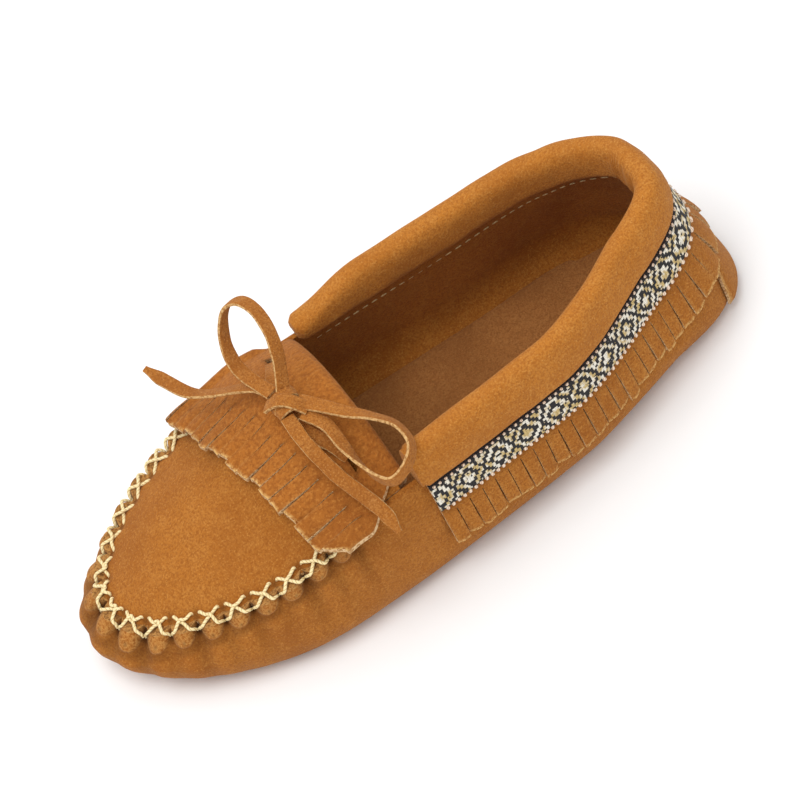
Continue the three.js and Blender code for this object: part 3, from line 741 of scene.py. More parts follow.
@dataclass(frozen=True)
class ShoeForm:
    """The shoe's own curves, mm. An angle round the plan is 0 at the back seam and pi at the toe."""

    length: float = 232
    heel_centre: float = 34
    waist: float = 75
    throat: float = 132
    ball: float = 171
    heel_round: float = 52
    toe_round: float = 74
    hide: float = 1.8
    gap: float = 0.3
    flap_length: float = 37
    seam_start: float = 20
    stitches: int = 19
    toe_flat: float = 8
    lobe_out: float = 1.4
    lobe_low: float = 4.2

    @property
    def half(self) -> float:
        """Half the length."""
        return self.length / 2

    def at(self, from_heel: float) -> float:
        """X of a station given from the heel."""
        return from_heel - self.half

    def over(self, x: Array, **values: float) -> Array:
        """Monotone curve through values at named stations.

        Args:
            x: places to read.
            values: the value at each station, in order from the heel.

        Returns:
            The values at x.
        """
        place = {"heel": 0.0, "heel_centre": self.heel_centre, "waist": self.waist, "throat": self.throat,
                 "ball": self.ball, "toe_rim": self.length - self.toe_flat, "toe": self.length}
        return along([(self.at(place[name]), value) for name, value in values.items()], x)

    def half_width(self, x: Array) -> Array:
        """Half the width at the widest height."""
        return self.over(x, heel_centre=34, waist=39, ball=42.5, toe=40.5)

    def centre(self, x: Array) -> Array:
        """Sideways place of the middle line: heel and toe swing to the wearer's right."""
        return self.over(x, heel=-2, heel_centre=-4, waist=0, throat=0.5, ball=-0.5, toe=-5)

    def lean(self, x: Array) -> Array:
        """How far the upper edge lies inside the widest line."""
        return self.over(x, heel=14.5, waist=5, throat=5, ball=5.5, toe=8.5)

    def edge_height(self, x: Array) -> Array:
        """Height of the upper edge."""
        return self.over(x, heel=50, waist=43.5, throat=43.5, ball=35.5, toe_rim=23)

    def bulge(self, x: Array) -> Array:
        """Height of the widest place."""
        return self.over(x, heel=4, heel_centre=12, ball=12, toe=14)

    def sole_inset(self, x: Array) -> Array:
        """From the widest line in to the edge of the flat sole."""
        return self.over(x, heel=3, heel_centre=9, ball=9, toe=14)

    def angle_at(self, x: float, side: float = 1) -> float:
        """Angle of a station on one side."""
        return side * math.acos(max(-1.0, min(1.0, -x / self.half)))

    def outline(self, angle: Array) -> Array:
        """Widest outline: x = -L/2 cos a, y = centre + side * width * both rounded ends.

        Args:
            angle: angles round the plan.

        Returns:
            Places in plan, x and y last.
        """
        x = -self.half * np.cos(angle)
        ends = round_end(x + self.half, self.heel_round, 2.4) * round_end(self.half - x, self.toe_round, 2.1)
        side = np.where(np.sin(angle) >= 0, 1.0, -1.0)
        return np.stack([x, self.centre(x) + side * self.half_width(x) * ends], -1)

    def outward(self, angle: Array) -> Array:
        """Level unit normal of the outline."""
        run = self.outline(angle + 0.02) - self.outline(angle - 0.02)
        return unit(np.stack([-run[..., 1], run[..., 0]], -1))

    def inset(self, x: Array, z: Array) -> Array:
        """How far the wall lies inside the outline: a quarter ellipse below, lean t^power above.

        Args:
            x: places along the shoe, mm.
            z: heights, mm.

        Returns:
            Distances in from the outline.
        """
        bulge = self.bulge(x)
        low = self.sole_inset(x) * (1 - np.sqrt(np.maximum(0, 1 - (1 - np.minimum(z / bulge, 1)) ** 2)))
        up = np.maximum(0, (z - bulge) / (self.edge_height(x) - bulge))
        power = self.over(x, heel=1.1, waist=1.5)
        return np.where(z < bulge, low, self.lean(x) * up**power)

    def wall(self, angle: Array, z: Array, out: Array | float = 0.0) -> Array:
        """Points on the outside of the wall at heights, moved out.

        Args:
            angle: angles round the plan.
            z: heights, mm.
            out: distance out from the wall, mm.

        Returns:
            The points.
        """
        angle, z, out = np.broadcast_arrays(np.asarray(angle, float), z, out)
        base, way = self.outline(angle), self.outward(angle)
        level = base + way * (out - self.inset(base[..., 0], z))[..., None]
        return lifted(level, z)

    def edge_z(self, angle: Array) -> Array:
        """Height of the upper edge at an angle."""
        return self.edge_height(-self.half * np.cos(angle))

    def edge(self, angle: Array, out: Array | float = 0.0, rise: Array | float = 0.0) -> Array:
        """Points at the upper edge, moved out and up.

        Args:
            angle: angles round the plan.
            out: distance out from the wall, mm.
            rise: distance up from the edge, mm.

        Returns:
            The points.
        """
        p = self.wall(angle, self.edge_z(np.asarray(angle, float)), out)
        p[..., 2] += rise
        return p

    def rise(self, x: Array) -> Array:
        """Height of the instep above its side edges."""
        ahead = self.half - 8.5 - self.hide - self.gap - x
        return self.over(x, throat=14.5, ball=10.5) * round_end(ahead, self.toe_round, 1.7)

    def apron_edges(self, angle: Array) -> tuple[Array, Array]:
        """Left and right edges of the apron at an angle."""
        inset = -self.hide - self.gap
        return self.edge(angle, inset), self.edge(-np.asarray(angle), inset)

    def instep(self, angle: Array, share: Array, up: Array | float = 0.0) -> Array:
        """Points on top of the apron; share runs from -1 at the right seam to 1 at the left.

        Args:
            angle: angles round the plan.
            share: place across, -1 at the right seam and 1 at the left.
            up: distance above the apron, mm.

        Returns:
            The points.
        """
        left, right = self.apron_edges(angle)
        p = right + (left - right) * ((np.asarray(share) + 1) / 2)[..., None]
        p[..., 2] += self.rise(p[..., 0]) * (1 - np.asarray(share) ** 2) + up
        return p

    def instep_height(self, p: Array) -> Array:
        """Height of the apron's top over places in plan.

        Args:
            p: points, of which x and y count.

        Returns:
            The apron's height at each.
        """
        angle = np.linspace(self.angle_at(self.at(self.throat)), math.pi, 600)
        left, right = self.apron_edges(angle)
        x = p[..., 0]

        def read(values: Array) -> Array:
            """Values along the left edge, read at x."""
            return np.interp(x, left[:, 0], values)

        half = np.maximum((read(left[:, 1]) - read(right[:, 1])) / 2, 0.01)
        middle = (read(left[:, 1]) + read(right[:, 1])) / 2
        share = np.minimum(1, np.abs(p[..., 1] - middle) / half)
        return read(left[:, 2]) + self.rise(x) * (1 - share**2)

    def seam_angles(self, count: int) -> Array:
        """Angles at even distances along the seam, from its left end round the toe.

        Args:
            count: how many even steps.

        Returns:
            The angles, one more than the count.
        """
        start = self.angle_at(self.at(self.throat) + self.seam_start)
        angle = np.linspace(start, TAU - start, 1201)
        length = distances(self.edge(angle))
        return np.interp(np.linspace(0, length[-1], count + 1), length, angle)

    def phase(self, angle: Array) -> Array:
        """Stitches from the left end of the seam; below 0 or over the count away from it.

        Args:
            angle: angles round the plan.

        Returns:
            Stitch numbers with their fractions, or -1.
        """
        holes = self.seam_angles(self.stitches)
        inside = np.interp(angle, holes, np.arange(self.stitches + 1))
        return np.where((angle < holes[0]) | (angle > holes[-1]), -1.0, inside)

    def lobe(self, angle: Array, depth: Array) -> Array:
        """How far the gathered edge stands out: h (1 - |2p-1|^5), ending on a round lower line.

        Args:
            angle: angles round the plan.
            depth: distance below the upper edge, mm.

        Returns:
            The distance out, mm.
        """
        phase = self.phase(angle)
        p = np.abs(2 * (phase % 1) - 1)
        wide = np.random.default_rng(17).uniform(0.85, 1.1, self.stitches + 2)[phase.astype(int)]
        low = self.lobe_low * wide * (1 - p**3.2) ** 0.6
        body = (1 - p**5) * smooth((low - depth) / 2.0 + 0.5)
        return np.where(phase >= 0, self.lobe_out * body, 0.0)


FORM = ShoeForm()


@dataclass(frozen=True)
class TopLine:
    """Distances along the upper edge from the back seam, positive on the wearer's left."""

    form: ShoeForm
    front: float = 5.2
    steps: int = 200
    ease: float = 0.5

    @property
    def end_angle(self) -> float:
        """Angle at which the collar ends."""
        return self.form.angle_at(self.form.at(self.form.throat) - self.front)

    def lengths(self) -> Array:
        """Distance at even angles."""
        return distances(self.form.edge(np.linspace(0, self.end_angle, self.steps + 1)))

    @property
    def reach(self) -> float:
        """Distance from the back seam to the ends of the trims."""
        return float(self.lengths()[-1]) - 1.5

    def angle(self, distance: Array) -> Array:
        """Signed angle at a signed distance."""
        share = np.interp(np.abs(distance), self.lengths(), np.linspace(0, 1, self.steps + 1))
        return np.sign(distance) * share * self.end_angle

    def point(self, distance: Array, drop: Array | float, out: Array | float) -> Array:
        """A place on the side: drop is measured down from the edge, out from the wall.

        Args:
            distance: signed distance from the back seam.
            drop: distance down from the edge.
            out: distance out from the wall, mm.

        Returns:
            The points.
        """
        angle = self.angle(distance)
        eased = out + self.ease * (1 - smooth(np.abs(distance) / 22))
        return self.form.wall(angle, self.form.edge_z(angle) - drop, eased)


LINE = TopLine(FORM)


class Maker:
    """What each sub-assembly shares: a finish store and the way a piece joins the frame."""

    store: dict[str, bpy.types.Material] = {}

    @classmethod
    def finish(cls, kind: Finish) -> bpy.types.Material:
        """The material of a finish, made once.

        Args:
            kind: the finish.

        Returns:
            Its material.
        """
        if kind.name not in cls.store:
            cls.store[kind.name] = kind.make()
        return cls.store[kind.name]

    @classmethod
    def add(
        cls,
        surface: Surface,
        name: str,
        finishes: list[Finish],
        slot: Slot,
        nodes: list[str],
        body: Body | None = Body.SHOE,
        crease: float = 50,
    ) -> bpy.types.Object:
        """Makes a piece, rides it on its body and hides the nodes that it stands for.

        Args:
            surface: its shape.
            name: its name.
            finishes: the finish of the faces and, if given, that of the cut edges.
            slot: the record's slot for its finish; not used.
            nodes: CAD nodes that it replaces.
            body: the body that it rides on, or none where it bends between two.
            crease: edges that turn more than this many degrees stay sharp.

        Returns:
            The piece.
        """
        piece = surface.make(name, [cls.finish(kind) for kind in finishes], crease)
        if body is not None:
            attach(piece, body.value)
        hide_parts(*nodes)
        log.info("%s: %d faces", piece.name, len(piece.data.polygons))
        return piece


@dataclass
class HideWrap(Maker):
    """The one hide that is sole, sides and toe wall, gathered along the seam."""

    per_stitch: int = 18
    side_columns: int = 230
    pucker: float = 2.2
    fold_fade: float = 8
    sole_shares: tuple[float, ...] = (0, 0.25, 0.5, 0.72, 0.88)

    def columns(self) -> Array:
        """Angles of the columns: close along the seam and wider round the heel.

        Returns:
            The angles, in order.
        """
        seam = FORM.seam_angles(FORM.stitches * self.per_stitch)
        back = np.linspace(seam[-1] - TAU, seam[0], self.side_columns + 1)[1:-1]
        length = distances(FORM.edge(back))
        even = np.interp(np.linspace(0, length[-1], len(back)), length, back)
        return np.concatenate([seam, even + TAU])

    def displaced(self, angle: Array, depth: Array, z: Array) -> tuple[Array, Array]:
        """Outward shift and the fold mark of painted shade: lobes above, folds below each hole that fade as
        exp(-depth).

        Args:
            angle: angles of the points.
            depth: distance below the upper edge, mm.
            z: heights, mm.

        Returns:
            The shift outward and the darkness painted as shade in the holes, the needle dots, under the lobes and in
            the folds.
        """
        phase = FORM.phase(angle)
        strength = np.random.default_rng(4).uniform(0.5, 1.35, FORM.stitches + 2)
        strength = strength[np.round(phase).astype(int)]
        valley = (0.5 + 0.5 * np.cos(TAU * phase)) ** 1.3
        on_seam = phase >= 0
        fade = np.exp(-np.maximum(depth - 3, 0) / self.fold_fade) * smooth(z / 6)
        fold = np.where(on_seam, valley * strength * fade, 0)
        places = FORM.wall(angle, z)
        soft = ripple(places, 62, 3) * 0.55 + ripple(places, 24, 8) * 0.16
        soft = soft * smooth(z / 14) * smooth((depth + 2) / 14)
        lobe = FORM.lobe(angle, depth)
        p = np.abs(2 * (phase % 1) - 1)
        # Painted shadow under each lobe's overhang.
        under = smooth((depth - 3.6) / 1.5) * (1 - smooth((depth - 5.8) / 2.2)) * (1 - p**2) * 0.35
        # The holes between lobes: dipped into the surface and darkened as painted shade.
        hole = np.exp(-(((1 - p) * 6) ** 2 / 0.9 + (depth - 2.2) ** 2 / 2.2))
        # Painted shade: a small dark dot in the middle of each lobe, with no hole in the surface.
        needle = np.exp(-((p * 5.0) ** 2 + (depth - 2.4) ** 2) / 0.3)
        # dark is all painted shade: in the holes, the dots, under the lobes and in the folds.
        dark = np.where(on_seam, hole * 0.85 + needle * 0.8 + under * 1.3 + fold * 0.75, 0)
        shift = lobe + soft - fold * self.pucker - np.where(on_seam, hole * 0.8, 0)
        return shift, dark

    @staticmethod
    def round_the_shoe(angle: Array, profile: Array, out: Array) -> Array:
        """A profile, distance out and height, carried round the outline and moved out."""
        level = FORM.outline(angle) + FORM.outward(angle) * (profile[..., :1] + out[..., None])
        return np.concatenate([level, profile[..., 1:]], -1)

    def with_sole(self, wall: Array) -> Array:
        """The wall's rings below rings that shrink from its lowest one to the middle of the sole.

        Args:
            wall: rings of points, the lowest first.

        Returns:
            All the rings, from the middle of the sole up.
        """
        sole = np.repeat(wall[:1], len(self.sole_shares), axis=0)
        sole[..., :2] *= np.array(self.sole_shares)[:, None, None]
        return np.vstack([sole, wall])

    def build(self) -> bpy.types.Object:
        """Sole, rounded corner and wall as one grid: rows from the middle of the sole to the edge.

        Returns:
            The piece.
        """
        angle = self.columns()[None, :]
        x = -FORM.half * np.cos(angle)
        top, bulge = FORM.edge_z(angle), FORM.bulge(x)
        corner = np.linspace(0, 1, 9)[:, None]
        wall = 1 - (1 - np.linspace(0, 1, 46)[1:, None]) ** 1.5
        z = np.vstack([bulge * (1 - np.cos(corner * math.pi / 2)), mix(bulge, top, wall)])
        angle, x = np.broadcast_to(angle, z.shape), np.broadcast_to(x, z.shape)
        shift, dark = self.displaced(angle, top - z, z)
        profile = np.stack([-FORM.inset(x, z), z], -1)
        run = unit(np.gradient(profile, axis=0))
        inner = profile + np.stack([-run[..., 1], run[..., 0]], -1) * FORM.hide
        inner[0] = np.stack([profile[0, :, 0], np.full(z.shape[1], FORM.hide)], -1)
        inner[-1] = profile[-1] - [FORM.hide, 0]
        inner[..., 1] = np.maximum(inner[..., 1], FORM.hide)
        lobe = FORM.lobe(angle, top - z)
        skin = self.round_the_shoe(angle, profile, shift)
        lining = self.round_the_shoe(angle, inner, (shift - lobe) * 0.6)
        skin[-1, :, 2] += FORM.lobe(angle[-1], 0 * z[-1]) * 0.35
        outer, inside = self.with_sole(skin), self.with_sole(lining)
        blank = np.zeros((len(self.sole_shares), z.shape[1]))
        fray = smooth(lobe / FORM.lobe_out) * 0.16
        fray[-3:] += np.array([0.05, 0.15, 0.3])[:, None] * (FORM.phase(angle[-1]) >= 0)
        dark, fray = np.vstack([blank, dark]), np.vstack([blank, fray])
        # The fold mark carries this painted shade.
        made = shell(outer, inside, wrap=True, marks={"fold": dark, "fray": fray})
        made.rim &= made.points[made.quads].mean(1)[:, 0] > FORM.at(FORM.throat) + FORM.seam_start - 2
        return self.add(made, "hide", [TAN, SEAM_EDGE], Slot.SUEDE, ["vamp_and_sole"])


@dataclass
class Apron(Maker):
    """The plug over the toes, dented at each needle hole."""

    rows: int = 220
    cols: int = 150
    dent_radius: float = 1.5
    dent_depth: float = 0.55

    def build(self) -> bpy.types.Object:
        """The instep surface, z + rise (1 - s^2), less a dent exp(-d^2) by each inner hole.

        Returns:
            The piece.
        """
        t = np.linspace(0, 1, self.rows)[:, None]
        angle = mix(math.pi, FORM.angle_at(FORM.at(FORM.throat)), t**1.1)
        turn = np.linspace(-math.pi / 2, math.pi / 2, self.cols)[None, :]
        share = np.sin(turn) * 0.35 + turn / (math.pi / 2) * 0.65
        angle, share = np.broadcast_arrays(angle, share)
        top = FORM.instep(angle, share)
        holes = FORM.edge(FORM.seam_angles(FORM.stitches), -FORM.hide - FORM.gap - 1.4)
        apart = np.linalg.norm(top[:, :, None, :2] - holes[None, None, :, :2], axis=-1).min(-1)
        dent = np.exp(-((apart / self.dent_radius) ** 2))
        soft = ripple(top, 46, 12) * 0.5 * (1 - share**4) * smooth((1 - t) * 3)
        soft = soft * smooth(t * 5)
        top = top.copy()
        top[..., 2] += soft - dent * self.dent_depth
        under = FORM.instep(angle, share, -FORM.hide)
        under[..., 2] += soft
        # The fold mark paints shade into the dent at each hole.
        made = shell(top, under, marks={"fold": dent * 0.75, "fray": np.zeros_like(dent)})
        return self.add(made, "apron_plug", [TAN, CUT], Slot.SUEDE, ["apron"])


@dataclass
class SeamThreads(Maker):
    """Two waxed strands that cross over the gathered edge."""

    thread: float = 1.0
    reach_in: float = 2.0

    def crossing(self, k: int, back: bool, lift: float) -> Surface:
        """One slanting stitch: out of the outer hole, over the edge and into the next hole in the apron.

        Args:
            k: which stitch, from the left.
            back: whether it slants the other way.
            lift: how far it rides over the strand below it where they cross.

        Returns:
            The strand.
        """
        share = np.array([0.05, 0.09, 0.23, 0.42, 0.62, 0.83, 0.87])
        phase = k + (1 - share if back else share)
        angle = np.interp(phase, np.arange(FORM.stitches + 1), FORM.seam_angles(FORM.stitches))
        lobe = FORM.lobe(angle, np.full(7, 0.5))
        radius = self.thread / 2
        out = np.array([-2.0, -0.7, radius - 0.5, -0.9, 0, 0, 0])
        out = out + np.array([0, 0.4, 0.75, 0.3, 0, 0, 0]) * lobe
        drop = np.array([2.0, 0.6, -radius - 0.1, -radius - 0.5 - lift, 0, 0, 0])
        spots = FORM.wall(angle, FORM.edge_z(angle) - drop, out)
        reach = np.array([0, 0, 0, 0, 0.25, 0.95, 1.12]) * self.reach_in
        plan = FORM.edge(angle, -FORM.hide - FORM.gap - reach)
        rise = np.array([0, 0, 0, 0, radius + 0.35 + lift * 0.4, radius - 0.15, -1.6])
        plan[:, 2] = FORM.instep_height(plan) + rise
        path = curve(np.where((np.arange(7) < 4)[:, None], spots, plan), 60)
        face = np.broadcast_to([0.0, 0.0, 1.0], path.shape)
        size = np.full(len(path), self.thread)
        return strap(path, face, size * 1.1, size * 0.9, 10, 2.0)

    def build(self) -> None:
        """Each strand goes over the edge one way, then back; the one slanting back lies on top."""
        for name, odd, lift in (("seam_thread_lower", 0, 0.0), ("seam_thread_upper", 1, 0.95)):
            parts = [self.crossing(k, (k + odd) % 2 == 1, lift) for k in range(FORM.stitches)]
            self.add(gather(parts), name + "_waxed", [WAXED], Slot.THREAD, [name])


@dataclass
class Flap(Maker):
    """The fringed flap: a hem under the throat edge, a fold, and cut strips over the apron."""

    thick: float = 1.6
    lift: float = 4.6
    overhang: float = 8
    tuck: float = 2
    skew: float = 7
    hem: float = 5
    strips: int = 17
    per_strip: int = 7
    cut_length: float = 15
    cut: float = 0.35

    @property
    def radius(self) -> float:
        """Inside of the fold."""
        return FORM.hide / 2 + 1.3

    @property
    def seam_half(self) -> float:
        """Half the apron's width at the throat."""
        left, right = FORM.apron_edges(FORM.angle_at(FORM.at(FORM.throat)))
        return float(np.linalg.norm(left - right)) / 2

    def surface(self, run: Array, across: Array, out: Array | float) -> Array:
        """Places on the flap: a half circle round the throat edge behind, the raised instep in front.

        Args:
            run: distance forward of the fold, negative behind it.
            across: -1 on the right to 1 on the left.
            out: distance above the underside.

        Returns:
            The points.
        """
        run, across, out = np.broadcast_arrays(np.asarray(run, float), across, out)
        seam, throat = self.seam_half, FORM.angle_at(FORM.at(FORM.throat))
        side = across * mix(seam - self.tuck, seam + self.overhang, smooth(run / 16))
        share = np.sign(side) * np.minimum(1, np.abs(side) / seam)
        over = np.maximum(0, np.abs(side) - seam)
        fold = math.pi * self.radius
        turn = mix(-math.pi / 2, math.pi / 2, np.clip((run + fold) / fold, 0, 1))
        behind = FORM.instep(np.full(run.shape, throat), share, -FORM.hide / 2)
        behind[..., 0] += np.maximum(0, -run - fold) - np.cos(turn) * (self.radius + out)
        behind[..., 2] += np.sin(turn) * (self.radius + out)
        ahead_x = FORM.at(FORM.throat) + np.maximum(run, 0)
        up = mix(self.radius - FORM.hide / 2, self.lift, smooth(run / 20)) + out
        ahead = FORM.instep(np.arccos(np.clip(-ahead_x / FORM.half, -1, 1)), share, up)
        ahead[..., 1] += np.sign(side) * over * 0.85
        ahead[..., 2] -= np.maximum(0, over - 3.2) * 0.95
        return np.where((run < 0)[..., None], behind, ahead)

    def grid(self) -> tuple[Array, Array, Array, Array]:
        """Places across, strip numbers, places within a strip, and which columns are cuts.

        Returns:
            Those four arrays.
        """
        gap = self.cut / (self.seam_half + self.overhang) / 2
        across, strip, inside, is_cut = cut_columns(1.0, self.strips, self.per_strip, gap)
        across[0], across[-1] = -1, 1
        return across, strip, inside, is_cut

    def build(self) -> bpy.types.Object:
        """One sheet that bends at the crease; strips lift, twist and curl by seeded amounts.

        Returns:
            The piece.
        """
        across, strip, inside, is_cut = self.grid()
        rng = np.random.default_rng(21)
        end = FORM.flap_length - self.skew * across - 5.5 * smooth((np.abs(across) - 0.84) / 0.16) ** 2
        end = end + rng.uniform(-0.9, 0.9, self.strips)[strip]
        end = end + ripple(across[:, None] * [40, 0, 0], 5, 2) * 0.25
        fold = math.pi * self.radius
        ahead = [1.5, 3, 5, 6.5, 7.5, 8.5, 10, 11.5, 13]
        back = np.concatenate([np.linspace(-fold - self.hem, -fold, 5), np.linspace(-fold, 0, 14)[1:], ahead])
        start = end - self.cut_length + rng.uniform(-1.2, 1.2, self.strips)[strip]
        body = mix(13.0, start[None], np.linspace(0, 1, 6)[1:, None])
        cuts = mix(start[None], end[None], np.linspace(0, 1, 26)[1:, None])
        run = np.vstack([np.broadcast_to(back[:, None], (len(back), len(across))), body, cuts])
        first = len(back) + len(body) - 1
        loose = smooth((run - start) / self.cut_length) * (np.arange(len(run))[:, None] > first)
        lifts = rng.uniform(0.0, 0.75, self.strips)[strip] * loose
        twist = rng.uniform(-0.5, 0.5, self.strips)[strip] * inside * loose
        cup = (1 - inside**2) * 0.3 * loose
        sway = rng.uniform(-0.006, 0.006, self.strips)[strip] * loose
        wide = np.broadcast_to(across[None], run.shape) + sway
        calm = smooth((run - 14) / 8)
        wave = ripple(np.stack([run, wide * 40, 0 * run], -1), 26, 5) * 0.4 * calm
        raised = lifts + twist + cup + wave + 0.3 * calm
        outer = self.surface(run, wide, self.thick + raised)
        inner = self.surface(run, wide, np.maximum(raised, 0) * 0.9)
        keep = np.ones((len(run) - 1, len(across) - 1), bool)
        keep[first:, is_cut] = False
        mid = (across[:-1] + across[1:]) / 2
        slit = (np.abs(np.abs(mid) - 0.6) < 0.1)[None, :]
        at = run[:-1, :-1]
        keep &= ~(slit & (at >= 6.4) & (at < 8.4))
        tip = smooth((run - end + 1.0) / 1.0)
        side = (np.abs(inside) > 0.95) * loose * 0.5
        # Painted shade at the root of each cut and round the lace slits, carried by the fold mark.
        painted_cut_shade = smooth(1 - np.abs(run - start) / 2.2) * (np.abs(inside) > 0.95) * 0.5 * (run > 14)
        hole = (np.abs(np.abs(wide) - 0.6) < 0.13) & (run > 5) & (run < 10)
        marks = {"fold": painted_cut_shade + hole * 0.5, "fray": np.maximum(tip * 0.9, side * 0.3)}
        made = shell(outer, inner, keep, marks=marks)
        piece = self.add(made, "instep_flap", [FLAP_TAN_PAINTED_SHADE, CUT], Slot.FLAP, ["flap_back", "flap_fringe"], None)
        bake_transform(piece)
        return piece


@dataclass
class Collar(Maker):
    """The rolled, padded top line."""

    height: float = 14.5
    thick: float = 9
    columns: int = 420
    sides: int = 56

    def build(self) -> bpy.types.Object:
        """Section (t/2 sgn|cos|^0.8, h/2 sgn|sin|^0.8) over the edge, with soft dents and end folds.

        Returns:
            The piece.
        """
        turn = np.arange(self.sides) / self.sides * TAU
        square = np.where(np.sin(turn) < 0, 0.5, 0.8)
        share = np.linspace(-1, 1, self.columns)
        angle = (share * LINE.end_angle)[:, None]
        close = np.sqrt(np.clip(1 - ((np.abs(share) - 0.988) / 0.012).clip(0, 1) ** 2, 0.0, 1))[:, None]
        close = np.maximum(close, np.where(share > 0, 0.8, 0.55)[:, None])
        rough = FORM.edge(angle[:, 0])[:, None] + np.stack([0 * turn, 6 * np.cos(turn), 8 * np.sin(turn)], -1)
        dent = ripple(rough, 34, 6) * 0.18 + ripple(rough, 11, 14) * 0.08
        bend = 1 - smooth(np.abs(share) / 0.3)[:, None]
        pleat = np.sin(share * 190)[:, None] * 0.22 * bend * np.clip(-np.cos(turn), 0, 1)
        half = (self.thick / 2 + dent + pleat) * close
        tall = (self.height / 2 + dent * 0.6) * (0.55 + 0.45 * close)
        side = np.clip(np.cos(turn), 0, 1)
        belly = 2.1 * side**0.6 * smooth((0.55 - np.sin(turn)) / 1.1)
        across = -FORM.hide / 2 - 1 + half * signed_power(np.cos(turn), square) + belly
        droop = 1.1 * smooth((side - 0.45) / 0.4) * smooth(-1.6 * np.sin(turn))
        sink = smooth((-share - 0.86) / 0.14)[:, None]
        bulk = self.height / 2 + tall * signed_power(np.sin(turn), square)
        up = FORM.gap + bulk * (1 - 0.5 * sink)
        ring = FORM.edge(np.broadcast_to(angle, across.shape), across, np.maximum(up, FORM.gap) - droop)
        caps = [np.broadcast_to(ring[i].mean(0), (1, self.sides, 3)) for i in (0, -1)]
        grid = np.concatenate([caps[0], ring, caps[1]])
        quads = tube_quads(len(grid), self.sides)
        # Painted shade: the underside of the roll is darkened through the fold mark.
        shade = np.broadcast_to((np.sin(turn) < -0.75) * 0.35, grid.shape[:2]).ravel()
        marks = {"fold": shade, "fray": np.zeros(len(shade))}
        made = Surface(grid.reshape(-1, 3), quads, np.zeros(len(quads), bool), marks).facing_out()
        piece = self.add(made, "collar_roll", [COLLAR_TAN_PAINTED_LIGHT], Slot.SUEDE, ["collar_cover", "collar_foam"])
        return piece


